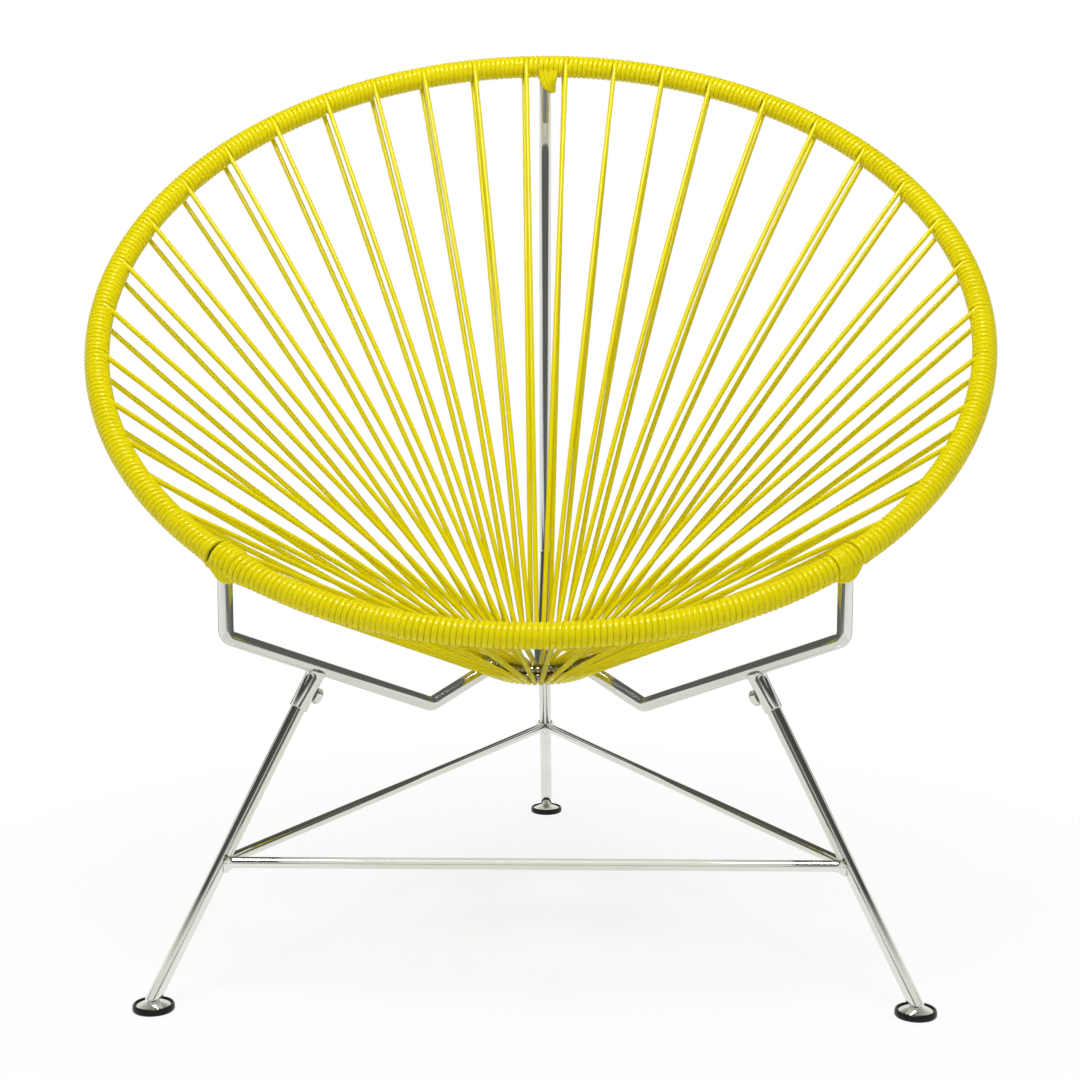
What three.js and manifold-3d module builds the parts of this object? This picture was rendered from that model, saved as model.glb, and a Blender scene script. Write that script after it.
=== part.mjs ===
// Acapulco chair: a cord-strung basket seat on a welded three-legged rod base.
// Lengths are millimetres and angles are degrees. +X is right, +Y is the back and +Z is up.
import * as THREE from 'three';
import { mergeVertices } from 'three/addons/utils/BufferGeometryUtils.js';
import Module from 'manifold-3d';

const wasm = await Module();
wasm.setup();

// Clearances shared by the pieces
const seatGap = 0.3; // between pieces that are welded or pressed together
const cutOverrun = 4; // how far a cutting body reaches past what it cuts

// Hoop: one oval of round tube, tilted back
const seatWidth = 838; // over the cord winding
const seatLength = 774.5; // front to back over the winding, along the tilted hoop
const seatFrontFlatness = 6.5; // how far the front edge falls short of a true oval
const seatFrontPowerCount = 12; // the higher, the narrower the part of the front that does
const hoopTilt = 42.5;
const hoopHeight = 573.4; // middle of the hoop above the floor
const hoopTubeDiameter = 12.7;
const hoopSteps = 64;
const hoopSides = 8;

// Cord: 4.8 mm vinyl, wound on the hoop and strung to the hub
const cordDiameter = 4.8;
const windingClearance = 0.2;
const panelGap = 0.4;
const strandSides = 5;
const stationsPerSection = 16;
const stationsPerPanel = 4;
const firstStationOffset = 21; // from the back strut, along the hoop
const rightLastOffset = 48; // from the right arm, along the hoop
const leftLastOffset = 62;
const rightCrowding = { closeCount: 3, closeShare: 0.83, armCount: 3, armShare: 0.9 };
const leftCrowding = { closeCount: 4, closeShare: 0.875, armCount: 3, armShare: 0.83 };

// Hub: two stacked rod rings under the seat
const hubSetback = -24; // behind the middle of the hoop
const hubHeight = 258.3;
const hubTilt = 8.5;
const hubRingDiameter = 107; // over the rod
const hubRodDiameter = 6.35;
const hubRodGap = 0.3;
const hubSteps = 30;
const hubSides = 8;
const loopTopSteps = 2;
const loopBottomSteps = 4;

// Arms and back strut: solid round rod, in upright planes through the hub's middle
const armDiameter = 12.7;
const armSides = 12;
const armAzimuth = 126.4; // from the back
const armBendRadius = 9;
const armBendSteps = 4;
const armLowReach = 118.8;
const armLowDrop = 32.1; // from the hub's middle down to the low bend
const armHighReach = 320.7;
const armUprightDrop = 67.2; // from the hoop's middle line down to the bend under it
const backStrutTopDrop = 58; // from the hoop down to the strut's upper bend
const backStrutTopSetback = 5; // how far that bend stands behind the hoop's tube
const saddleDepth = 3; // how far below the hoop's middle line the saddle ends reach

// Base: three legs, three stretchers
const legDiameter = 12.5;
const legSides = 16;
const legFootReach = 393;
const legFootHeight = 12; // where the leg's middle line has that reach
const legTopReach = 254; // at the mouth of the socket
const legEndHeight = 9.8; // the level cut above the glide
const stretcherDiameter = 9.5;
const stretcherSides = 12;
const stretcherHeight = 115.7;

// Sockets: sleeves under the arms, each with a nut and a set screw
const socketDrop = 42; // from the arm's middle line straight down to the sleeve's mouth
const socketDiameter = 15.8;
const socketWall = 1.3;
const socketSides = 20;
const socketSaddle = 2.5; // how far the sleeve's welded end climbs the arm's round
const socketRoof = 4; // between the leg's top end and the sleeve's highest point
const nutWidth = 13; // across flats
const nutThickness = 5.5;
const nutDrop = 16.5; // from the sleeve's mouth up to the screw's middle
const screwDiameter = 6;
const screwSides = 12;
const screwHexWidth = 3;
const screwHexDepth = 2;
const screwProud = 0.6;

// Glides: a ball stud in the leg, a steel disc and a rubber pad
const padDiameter = 35;
const padHeight = 5.4;
const padFloor = 1.4;
const padChamfer = 0.9;
const discDiameter = 31;
const discRimHeight = 5.9;
const discTopHeight = 7.6;
const discTopDiameter = 22;
const ballHeight = 5.2;
const ballDiameter = 5.2;
const ballClearance = 0.3;
const studNeckDiameter = 3.2;
const studDiameter = 5;
const studNeckTop = 8.2;
const studDepth = 5.2; // above the leg's level cut
const studBoreRoof = 0.5;
const discMouthDiameter = 4.5;
const glideSides = 18;
const ballArcSteps = 4;

const finishes = {
  cord: { color: 0xe6dc00, roughness: 0.35, metalness: 0 },
  chrome: { color: 0xd8dad6, roughness: 0.12, metalness: 1 },
  steel: { color: 0xb9bdb6, roughness: 0.3, metalness: 1 },
  rubber: { color: 0x111111, roughness: 0.7, metalness: 0 },
};

const chair = new THREE.Group();
const fullTurn = 360;

function radians(degrees) {
  return THREE.MathUtils.degToRad(degrees);
}

function vector(x, y, z) {
  return new THREE.Vector3(x, y, z);
}

function between(a, b, share) {
  return a.clone().lerp(b, share);
}

function heading(from, to) {
  return to.clone().sub(from).normalize();
}

function solidOf(geometry) {
  const bare = geometry.clone();
  bare.deleteAttribute('normal');
  bare.deleteAttribute('uv');
  const merged = mergeVertices(bare);
  return new wasm.Manifold(new wasm.Mesh({
    numProp: 3,
    vertProperties: new Float32Array(merged.attributes.position.array),
    triVerts: new Uint32Array(merged.index.array),
  }));
}

function geometryOf(solid) {
  const mesh = solid.getMesh();
  const geometry = new THREE.BufferGeometry();
  geometry.setAttribute('position', new THREE.BufferAttribute(mesh.vertProperties, mesh.numProp));
  geometry.setIndex(new THREE.BufferAttribute(mesh.triVerts, 1));
  geometry.computeVertexNormals();
  return geometry;
}

function addPiece(name, shape, finish) {
  const geometry = shape.isBufferGeometry ? shape : geometryOf(shape);
  const piece = new THREE.Mesh(geometry, new THREE.MeshStandardMaterial(finish));
  piece.name = name;
  chair.add(piece);
  return piece;
}

function cutAway(body, tools) {
  return tools.reduce((left, tool) => left.subtract(tool), body);
}

// A section is a list of [u, v] points, counter-clockwise
function roundSection(diameter, sides) {
  const section = [];
  for (let i = 0; i < sides; i += 1) {
    const angle = (i + 0.5) / sides * Math.PI * 2;
    section.push([Math.cos(angle) * diameter / 2, Math.sin(angle) * diameter / 2]);
  }
  return section;
}

function squareSection(size) {
  const half = size / 2;
  return [[-half, -half], [half, -half], [half, half], [-half, half]];
}

// A section carried along points, mitred at each, as one closed body. The end faces are
// square to the path, or to the two directions in ends.
function sweep(points, section, firstAxis, closed = false, ends = null) {
  const count = points.length;
  const positions = [];
  const axisU = firstAxis.clone();
  for (let i = 0; i < count; i += 1) {
    const hasBefore = closed || i > 0;
    const hasAfter = closed || i < count - 1;
    const after = hasAfter ? heading(points[i], points[(i + 1) % count]) : null;
    const incoming = hasBefore ? heading(points[(i - 1 + count) % count], points[i]) : after;
    const outgoing = after ?? incoming;
    let facing = incoming.clone().add(outgoing).normalize();
    if (ends && (i === 0 || i === count - 1)) {
      facing = ends[i === 0 ? 0 : 1];
    }
    axisU.addScaledVector(incoming, -axisU.dot(incoming)).normalize();
    const axisV = incoming.clone().cross(axisU);
    for (const [u, v] of section) {
      const corner = axisU.clone().multiplyScalar(u).addScaledVector(axisV, v);
      corner.addScaledVector(incoming, -corner.dot(facing) / incoming.dot(facing));
      corner.add(points[i]);
      positions.push(corner.x, corner.y, corner.z);
    }
    axisU.applyQuaternion(new THREE.Quaternion().setFromUnitVectors(incoming, outgoing));
  }
  const sides = section.length;
  const faces = [];
  const spans = closed ? count : count - 1;
  for (let i = 0; i < spans; i += 1) {
    const here = i * sides;
    const next = ((i + 1) % count) * sides;
    for (let j = 0; j < sides; j += 1) {
      const k = (j + 1) % sides;
      faces.push(here + j, here + k, next + k, here + j, next + k, next + j);
    }
  }
  if (!closed) {
    const last = (count - 1) * sides;
    for (let j = 1; j < sides - 1; j += 1) {
      faces.push(0, j + 1, j, last, last + j, last + j + 1);
    }
  }
  const geometry = new THREE.BufferGeometry();
  geometry.setAttribute('position', new THREE.Float32BufferAttribute(positions, 3));
  geometry.setIndex(faces);
  geometry.computeVertexNormals();
  return geometry;
}

// Corner points with each inner corner rounded by an arc of straight steps
function roundedPath(corners, radius, steps) {
  const path = [corners[0]];
  for (let i = 1; i < corners.length - 1; i += 1) {
    const incoming = heading(corners[i - 1], corners[i]);
    const outgoing = heading(corners[i], corners[i + 1]);
    const turn = incoming.angleTo(outgoing);
    const inward = outgoing.clone().sub(incoming).normalize();
    const middle = corners[i].clone().addScaledVector(inward, radius / Math.cos(turn / 2));
    const spoke = incoming.clone().multiplyScalar(-radius * Math.tan(turn / 2)).add(corners[i]).sub(middle);
    const axis = incoming.clone().cross(outgoing).normalize();
    for (let step = 0; step <= steps; step += 1) {
      path.push(spoke.clone().applyAxisAngle(axis, turn * step / steps).add(middle));
    }
  }
  path.push(corners[corners.length - 1]);
  return path;
}

// A lathe profile of [radius, height] points, spun about +Z
function latheUp(profile, sides) {
  const points = profile.map(([radius, height]) => new THREE.Vector2(radius, height));
  return new THREE.LatheGeometry(points, sides).rotateX(Math.PI / 2);
}

// The hoop as a closed ring of straight steps, met by distance from the top
const windingDiameter = hoopTubeDiameter + 2 * (windingClearance + cordDiameter);
const hoopHalfWidth = (seatWidth - windingDiameter) / 2;
const hoopHalfLength = (seatLength + seatFrontFlatness - windingDiameter) / 2;
const hoopNormal = vector(0, -Math.sin(radians(hoopTilt)), Math.cos(radians(hoopTilt)));
const hoopUpSlope = vector(0, Math.cos(radians(hoopTilt)), Math.sin(radians(hoopTilt)));
const hoopMiddle = vector(0, 0, hoopHeight);

function makeHoopCorners() {
  const corners = [];
  for (let i = 0; i < hoopSteps; i += 1) {
    const angle = i / hoopSteps * Math.PI * 2;
    const flattening = seatFrontFlatness * Math.max(0, -Math.cos(angle)) ** seatFrontPowerCount;
    const rise = hoopHalfLength * Math.cos(angle) + flattening;
    const corner = hoopMiddle.clone().addScaledVector(hoopUpSlope, rise);
    corner.x += hoopHalfWidth * Math.sin(angle);
    corners.push(corner);
  }
  return corners;
}

const hoopCorners = makeHoopCorners();

function hoopStepStarts() {
  const starts = [0];
  for (let i = 0; i < hoopSteps; i += 1) {
    starts.push(starts[i] + hoopCorners[i].distanceTo(hoopCorners[(i + 1) % hoopSteps]));
  }
  return starts;
}

const hoopStarts = hoopStepStarts();
const hoopLength = hoopStarts[hoopSteps];

function hoopCorner(index) {
  return hoopCorners[(index + hoopSteps) % hoopSteps];
}

function hoopPlace(distance) {
  const run = ((distance % hoopLength) + hoopLength) % hoopLength;
  let step = 0;
  while (step < hoopSteps - 1 && hoopStarts[step + 1] <= run) {
    step += 1;
  }
  const from = hoopCorners[step];
  const to = hoopCorners[(step + 1) % hoopSteps];
  const share = (run - hoopStarts[step]) / (hoopStarts[step + 1] - hoopStarts[step]);
  const beside = share < 0.5 ? step - 1 : step + 1;
  const neighbour = heading(hoopCorner(beside), hoopCorner(beside + 1));
  const square = heading(from, to).lerp(neighbour, Math.abs(share - 0.5)).normalize();
  return { point: between(from, to, share), along: heading(from, to), square };
}

function hoopPath(fromDistance, toDistance) {
  const path = [hoopPlace(fromDistance).point];
  for (let i = 0; i < 2 * hoopSteps; i += 1) {
    const start = hoopStarts[i % hoopSteps] + (i < hoopSteps ? 0 : hoopLength);
    if (start > fromDistance + seatGap && start < toDistance - seatGap) {
      path.push(hoopCorners[i % hoopSteps].clone());
    }
  }
  path.push(hoopPlace(toDistance).point);
  return path;
}

// Upright planes through the hub's middle, named by their azimuth from the back
function outward(azimuth) {
  return vector(Math.sin(radians(azimuth)), Math.cos(radians(azimuth)), 0);
}

function sideways(azimuth) {
  return vector(Math.cos(radians(azimuth)), -Math.sin(radians(azimuth)), 0);
}

function reach(azimuth, distance, height) {
  return outward(azimuth).multiplyScalar(distance).add(vector(0, hubSetback, height));
}

function hoopDistanceAt(azimuth) {
  const across = sideways(azimuth);
  const axisPoint = vector(0, hubSetback, 0);
  const offsets = hoopCorners.map((corner) => corner.clone().sub(axisPoint).dot(across));
  for (let i = 0; i < hoopSteps; i += 1) {
    const next = (i + 1) % hoopSteps;
    const faces = hoopCorners[i].clone().sub(axisPoint).dot(outward(azimuth)) > 0;
    if (faces && offsets[i] <= 0 && offsets[next] > 0) {
      const share = -offsets[i] / (offsets[next] - offsets[i]);
      return hoopStarts[i] + share * (hoopStarts[i + 1] - hoopStarts[i]);
    }
  }
  throw new Error('the hoop does not cross azimuth ' + azimuth);
}

const armDistance = hoopDistanceAt(armAzimuth);
const armLowHeight = hubHeight - armLowDrop;
const armHighHeight = hoopPlace(armDistance).point.z - armUprightDrop;
const joints = [
  { name: 'back', azimuth: 0, distance: 0 },
  { name: 'right', azimuth: armAzimuth, distance: armDistance },
  { name: 'left', azimuth: -armAzimuth, distance: hoopLength - armDistance },
];

// The hub's own frame: two stacked rings on a plate tilted down to the front
const hubMiddle = vector(0, hubSetback, hubHeight);
const hubUp = vector(0, -Math.sin(radians(hubTilt)), Math.cos(radians(hubTilt)));
const hubRodReach = (hubRingDiameter - hubRodDiameter) / 2;
const hubRodRise = (hubRodDiameter + hubRodGap) / 2;

function hubOutward(azimuth) {
  const flat = outward(azimuth);
  const back = vector(0, Math.cos(radians(hubTilt)), Math.sin(radians(hubTilt)));
  return vector(flat.x, 0, 0).addScaledVector(back, flat.y);
}

function hubPoint(azimuth, distance, rise) {
  return hubMiddle.clone().addScaledVector(hubOutward(azimuth), distance).addScaledVector(hubUp, rise);
}

function hubRing(rise) {
  const path = [];
  for (let i = 0; i < hubSteps; i += 1) {
    path.push(hubPoint(-fullTurn * i / hubSteps, hubRodReach, rise));
  }
  return sweep(path, roundSection(hubRodDiameter, hubSides), hubUp, true);
}

// Bent rods: left arm, right arm and back strut
function armCorners(joint) {
  const hubEdge = hubPoint(joint.azimuth, hubRingDiameter / 2, 0);
  const low = reach(joint.azimuth, armLowReach, armLowHeight);
  const start = hubEdge.clone().addScaledVector(heading(low, hubEdge), armDiameter);
  const high = reach(joint.azimuth, armHighReach, armHighHeight);
  const crown = hoopPlace(joint.distance).point;
  if (joint.name !== 'back') {
    return [start, low, high, vector(high.x, high.y, crown.z - saddleDepth)];
  }
  const bend = crown.clone().add(vector(0, backStrutTopSetback, -backStrutTopDrop));
  const top = crown.clone().addScaledVector(heading(crown, bend), saddleDepth);
  return [start, low, high, bend, top];
}

function armBody(joint, diameter) {
  const path = roundedPath(armCorners(joint), armBendRadius, armBendSteps);
  return solidOf(sweep(path, roundSection(diameter, armSides), sideways(joint.azimuth)));
}

function hoopCutter(joint, diameter) {
  const span = 2 * armDiameter;
  const path = hoopPathAround(joint.distance, span);
  return solidOf(sweep(path, roundSection(diameter, hoopSides), hoopNormal));
}

function hoopPathAround(distance, span) {
  const lap = distance < span ? hoopLength : 0;
  return hoopPath(distance - span + lap, distance + span + lap);
}

// The outside of the hub, carried up and down past the arms that end on it
function hubCutter(diameter) {
  const path = [-armDiameter, armDiameter].map((rise) => hubPoint(0, 0, 2 * rise));
  return solidOf(sweep(path, roundSection(diameter, 2 * hubSteps), hubOutward(0)));
}

function arm(joint) {
  const hub = hubCutter(hubRingDiameter + 2 * seatGap);
  const hoop = hoopCutter(joint, hoopTubeDiameter + 2 * seatGap);
  return cutAway(armBody(joint, armDiameter), [hub, hoop]);
}

// Cord stations on the hoop, by distance from the top. The first gaps, next to the back
// strut, and the last ones, next to the arm, are a share of the gaps between them.
function sideStations(lastOffset, crowding) {
  const gaps = stationsPerSection - 1;
  const run = armDistance - firstStationOffset - lastOffset;
  const shares = [0];
  for (let gap = 0; gap < gaps; gap += 1) {
    let spacing = 1;
    if (gap < crowding.closeCount) {
      spacing = crowding.closeShare;
    } else if (gap >= gaps - crowding.armCount) {
      spacing = crowding.armShare;
    }
    shares.push(shares[gap] + spacing);
  }
  return shares.map((share) => firstStationOffset + run * share / shares[gaps]);
}

function frontStations() {
  const width = fullTurn - 2 * armAzimuth;
  const distances = [];
  for (let i = 0; i < stationsPerSection; i += 1) {
    distances.push(hoopDistanceAt(armAzimuth + width * (i + 0.5) / stationsPerSection));
  }
  return distances;
}

// Where each station's cord passes the hub: inside the rings, then outside them
const loopRadius = (hubRodDiameter + cordDiameter) / 2 + seatGap;

function hubSlots(fromAzimuth, toAzimuth) {
  const width = toAzimuth - fromAzimuth;
  const outerReach = hubRodReach + loopRadius;
  const clearOfArm = armDiameter / 2 + seatGap + cordDiameter / 2;
  const margin = THREE.MathUtils.radToDeg(Math.asin(clearOfArm / outerReach));
  const slots = [];
  for (let i = 0; i < stationsPerSection; i += 1) {
    slots.push({
      inner: fromAzimuth + width * (i + 0.5) / stationsPerSection,
      outer: fromAzimuth + margin + (width - 2 * margin) * i / (stationsPerSection - 1),
    });
  }
  return slots;
}

function makeStations() {
  const right = sideStations(rightLastOffset, rightCrowding);
  const left = sideStations(leftLastOffset, leftCrowding).map((distance) => hoopLength - distance);
  const leftArmAzimuth = fullTurn - armAzimuth;
  const leftArmDistance = hoopLength - armDistance;
  const placed = (name, azimuths, start, end, distances) => {
    const slots = hubSlots(...azimuths);
    return { name, start, end, stations: distances.map((distance, i) => ({ distance, ...slots[i] })) };
  };
  return [
    placed('back_right', [0, armAzimuth], 0, armDistance, right),
    placed('front', [armAzimuth, leftArmAzimuth], armDistance, leftArmDistance, frontStations()),
    placed('back_left', [leftArmAzimuth, fullTurn], leftArmDistance, hoopLength, left.reverse()),
  ];
}

// One cord from the hoop's inner face, round both hub rods, back to its outer face
function strandPath(station) {
  const { point, along } = hoopPlace(station.distance);
  const windingRadius = (windingDiameter - cordDiameter) / 2;
  const toHub = heading(point, hubPoint(station.inner, hubRodReach, 0));
  const inward = along.clone().cross(toHub).normalize();
  if (inward.dot(hoopNormal) < 0) {
    inward.negate();
  }
  const innerEnd = point.clone().addScaledVector(inward, windingRadius);
  const outerEnd = point.clone().addScaledVector(inward, -windingRadius);
  const climb = (end, azimuth, rise) => {
    const run = end.clone().sub(hubPoint(azimuth, hubRodReach, rise));
    return THREE.MathUtils.radToDeg(Math.atan2(run.dot(hubUp), run.dot(hubOutward(azimuth))));
  };
  const innerClimb = climb(innerEnd, station.inner, hubRodRise);
  const outerClimb = climb(outerEnd, station.outer, -hubRodRise);
  // The steps' points stand far enough out that their chords clear the rod
  const onLoop = (azimuth, rise, angle, step) => {
    const radius = loopRadius / Math.cos(radians(step / 2));
    const distance = hubRodReach + radius * Math.cos(radians(angle));
    return hubPoint(azimuth, distance, rise + radius * Math.sin(radians(angle)));
  };
  const path = [innerEnd];
  const topStep = (90 - innerClimb) / loopTopSteps;
  for (let i = 0; i <= loopTopSteps; i += 1) {
    path.push(onLoop(station.inner, hubRodRise, 90 + innerClimb + topStep * i, topStep));
  }
  const bottomStep = (90 + outerClimb) / loopBottomSteps;
  for (let i = 0; i <= loopBottomSteps; i += 1) {
    const azimuth = THREE.MathUtils.lerp(station.inner, station.outer, i / loopBottomSteps);
    path.push(onLoop(azimuth, -hubRodRise, 180 + bottomStep * i, bottomStep));
  }
  path.push(outerEnd);
  return path;
}

function strandBody(station) {
  const path = strandPath(station);
  return solidOf(sweep(path, roundSection(cordDiameter, strandSides), hoopPlace(station.distance).along));
}

// A panel is one stretch of winding with its strands, as the one cord makes it
function windingBody(fromDistance, toDistance) {
  const path = hoopPath(fromDistance, toDistance);
  const bore = hoopPath(fromDistance, toDistance);
  const last = bore.length - 1;
  bore[0].addScaledVector(heading(bore[1], bore[0]), cutOverrun);
  bore[last].addScaledVector(heading(bore[last - 1], bore[last]), cutOverrun);
  const boreDiameter = hoopTubeDiameter + 2 * windingClearance;
  const ends = [hoopPlace(fromDistance).square, hoopPlace(toDistance).square];
  const outer = solidOf(sweep(path, roundSection(windingDiameter, hoopSides), hoopNormal, false, ends));
  return outer.subtract(solidOf(sweep(bore, roundSection(boreDiameter, hoopSides), hoopNormal)));
}

function cordPanels(section) {
  const panels = Math.ceil(section.stations.length / stationsPerPanel);
  const armCutters = joints.map((joint) => armBody(joint, armDiameter + 2 * seatGap));
  for (let i = 0; i < panels; i += 1) {
    const first = i * stationsPerPanel;
    const members = section.stations.slice(first, first + stationsPerPanel);
    const before = section.stations[first - 1];
    const after = section.stations[first + stationsPerPanel];
    const last = members[members.length - 1];
    const low = before
      ? (before.distance + members[0].distance + panelGap) / 2
      : section.start + panelGap / 2;
    const high = after ? (after.distance + last.distance - panelGap) / 2 : section.end - panelGap / 2;
    let body = windingBody(low, high);
    for (const station of members) {
      body = body.add(strandBody(station));
    }
    addPiece('cord_' + section.name + '_' + (i + 1), cutAway(body, armCutters), finishes.cord);
  }
}

// Legs, stretchers and sockets
const armSlope = (armHighHeight - armLowHeight) / (armHighReach - armLowReach);
const legTopHeight = armLowHeight + armSlope * (legTopReach - armLowReach) - socketDrop;
const legSlope = (legTopReach - legFootReach) / (legTopHeight - legFootHeight);

function legPoint(azimuth, height) {
  return reach(azimuth, legFootReach + legSlope * (height - legFootHeight), height);
}

function legAxis(azimuth) {
  return heading(legPoint(azimuth, legFootHeight), legPoint(azimuth, legTopHeight));
}

function legRun(azimuth, fromHeight, toHeight, diameter, sides) {
  const path = [legPoint(azimuth, fromHeight), legPoint(azimuth, toHeight)];
  return solidOf(sweep(path, roundSection(diameter, sides), sideways(azimuth)));
}

// What trims a sleeve below the arm: the arm's own round, and a block above the sleeve's saddle
function armTrimmers(joint) {
  const low = reach(joint.azimuth, armLowReach, armLowHeight);
  const high = reach(joint.azimuth, armHighReach, armHighHeight);
  const across = sideways(joint.azimuth);
  const round = sweep([low, high], roundSection(armDiameter + 2 * seatGap, armSides), across);
  const up = across.clone().cross(heading(low, high));
  if (up.z < 0) {
    up.negate();
  }
  const depth = 4 * armDiameter;
  const lift = depth / 2 - armDiameter / 2 + socketSaddle;
  const path = [low, high].map((point) => point.clone().addScaledVector(up, lift));
  return [solidOf(round), solidOf(sweep(path, squareSection(depth), across))];
}

// Where the leg's middle line meets the arm's under side
function socketTopHeight() {
  const armAtLeg = armLowHeight + armSlope * (legFootReach - armLowReach);
  const height = (armAtLeg - armSlope * legSlope * legFootHeight) / (1 - armSlope * legSlope);
  return height - armDiameter / 2;
}

function screwFrame(joint) {
  const axis = legAxis(joint.azimuth);
  const mouth = legPoint(joint.azimuth, legTopHeight);
  const inward = sideways(joint.azimuth).cross(axis).normalize();
  if (inward.dot(outward(joint.azimuth)) > 0) {
    inward.negate();
  }
  return { middle: mouth.addScaledVector(axis, nutDrop), inward, across: sideways(joint.azimuth) };
}

function screwRun(frame, from, to, section) {
  const path = [
    frame.middle.clone().addScaledVector(frame.inward, from),
    frame.middle.clone().addScaledVector(frame.inward, to),
  ];
  return solidOf(sweep(path, section, frame.across));
}

function hexSection(acrossFlats) {
  return roundSection(acrossFlats / Math.cos(Math.PI / 6), 6);
}

function legSocket(joint) {
  const top = socketTopHeight() + armDiameter;
  const sleeve = legRun(joint.azimuth, legTopHeight, top, socketDiameter, socketSides);
  const bore = legRun(
    joint.azimuth,
    legTopHeight - cutOverrun,
    top + cutOverrun,
    socketDiameter - 2 * socketWall,
    socketSides,
  );
  const screwHole = screwRun(
    screwFrame(joint),
    0,
    socketDiameter / 2 + cutOverrun,
    roundSection(screwDiameter + 2 * seatGap, screwSides),
  );
  return cutAway(sleeve, [...armTrimmers(joint), bore, screwHole]);
}

function socketNut(joint) {
  const frame = screwFrame(joint);
  const seat = socketDiameter / 2 + seatGap;
  const nut = screwRun(frame, seat, seat + nutThickness, hexSection(nutWidth));
  const hole = roundSection(screwDiameter + 2 * seatGap, screwSides);
  return nut.subtract(screwRun(frame, seat - cutOverrun, seat + nutThickness + cutOverrun, hole));
}

function setScrew(joint) {
  const frame = screwFrame(joint);
  const tip = legDiameter / 2 + seatGap;
  const head = socketDiameter / 2 + seatGap + nutThickness + screwProud;
  const shank = screwRun(frame, tip, head, roundSection(screwDiameter, screwSides));
  return shank.subtract(screwRun(frame, head - screwHexDepth, head + cutOverrun, hexSection(screwHexWidth)));
}

function footMiddle(joint) {
  return legPoint(joint.azimuth, legEndHeight);
}

function leg(joint) {
  const topHeight = socketTopHeight() - socketRoof;
  const rod = legRun(joint.azimuth, 0, topHeight, legDiameter, legSides);
  const foot = footMiddle(joint);
  const block = new THREE.BoxGeometry(4 * legDiameter, 4 * legDiameter, 2 * legEndHeight);
  block.translate(foot.x, foot.y, 0);
  const boreTop = legEndHeight + studDepth + studBoreRoof;
  const boreFloor = legEndHeight - cutOverrun;
  const bore = new THREE.CylinderGeometry(
    studDiameter / 2 + seatGap,
    studDiameter / 2 + seatGap,
    boreTop - boreFloor,
    legSides,
  );
  bore.rotateX(Math.PI / 2).translate(foot.x, foot.y, (boreTop + boreFloor) / 2);
  return cutAway(rod, [solidOf(block), solidOf(bore)]);
}

function stretcherRod(from, to, diameter) {
  const ends = [legPoint(from.azimuth, stretcherHeight), legPoint(to.azimuth, stretcherHeight)];
  return solidOf(sweep(ends, roundSection(diameter, stretcherSides), vector(0, 0, 1)));
}

// A stretcher stops at both legs and at its neighbours: a side one is trimmed round the
// front one, and mitred with its twin in the middle plane at the back leg
function stretcher(from, to, isSide) {
  const low = stretcherHeight - 2 * legDiameter;
  const high = stretcherHeight + 2 * legDiameter;
  const tools = [from, to].map((joint) => (
    legRun(joint.azimuth, low, high, legDiameter + 2 * seatGap, legSides)
  ));
  if (isSide) {
    const [, right, left] = joints;
    const meeting = legPoint(from.azimuth, stretcherHeight);
    const slab = new THREE.BoxGeometry(seatGap, 4 * legDiameter, 4 * legDiameter);
    slab.translate(meeting.x, meeting.y, meeting.z);
    tools.push(stretcherRod(left, right, stretcherDiameter + 2 * seatGap), solidOf(slab));
  }
  const pieces = cutAway(stretcherRod(from, to, stretcherDiameter), tools).decompose();
  return pieces.reduce((largest, piece) => (piece.volume() > largest.volume() ? piece : largest));
}

// Glides: what stands on the floor at each leg
function glidePad() {
  const outer = padDiameter / 2;
  const inner = discDiameter / 2 + seatGap;
  return latheUp([
    [0, 0],
    [outer - padChamfer, 0],
    [outer, padChamfer],
    [outer, padHeight - padChamfer],
    [outer - padChamfer, padHeight],
    [inner, padHeight],
    [inner, padFloor],
    [0, padFloor],
  ], glideSides);
}

function arcProfile(radius, height, fromAngle, toAngle, steps) {
  const points = [];
  for (let i = 0; i <= steps; i += 1) {
    const angle = radians(THREE.MathUtils.lerp(fromAngle, toAngle, i / steps));
    points.push([Math.max(0, radius * Math.cos(angle)), height + radius * Math.sin(angle)]);
  }
  return points;
}

function glideDisc() {
  const rim = discDiameter / 2;
  const socketRadius = ballDiameter / 2 + ballClearance;
  const mouth = discMouthDiameter / 2;
  const lipAngle = THREE.MathUtils.radToDeg(Math.acos(mouth / socketRadius));
  return latheUp([
    [0, padFloor + seatGap],
    [rim, padFloor + seatGap],
    [rim, discRimHeight],
    [discTopDiameter / 2, discTopHeight],
    [mouth, discTopHeight],
    ...arcProfile(socketRadius, ballHeight, lipAngle, -90, ballArcSteps),
  ], glideSides);
}

function ballStud() {
  const neck = studNeckDiameter / 2;
  const ball = ballDiameter / 2;
  const neckAngle = THREE.MathUtils.radToDeg(Math.acos(neck / ball));
  const top = legEndHeight + studDepth;
  return latheUp([
    ...arcProfile(ball, ballHeight, -90, neckAngle, ballArcSteps),
    [neck, studNeckTop],
    [studDiameter / 2, studNeckTop],
    [studDiameter / 2, top],
    [0, top],
  ], glideSides);
}

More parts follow.
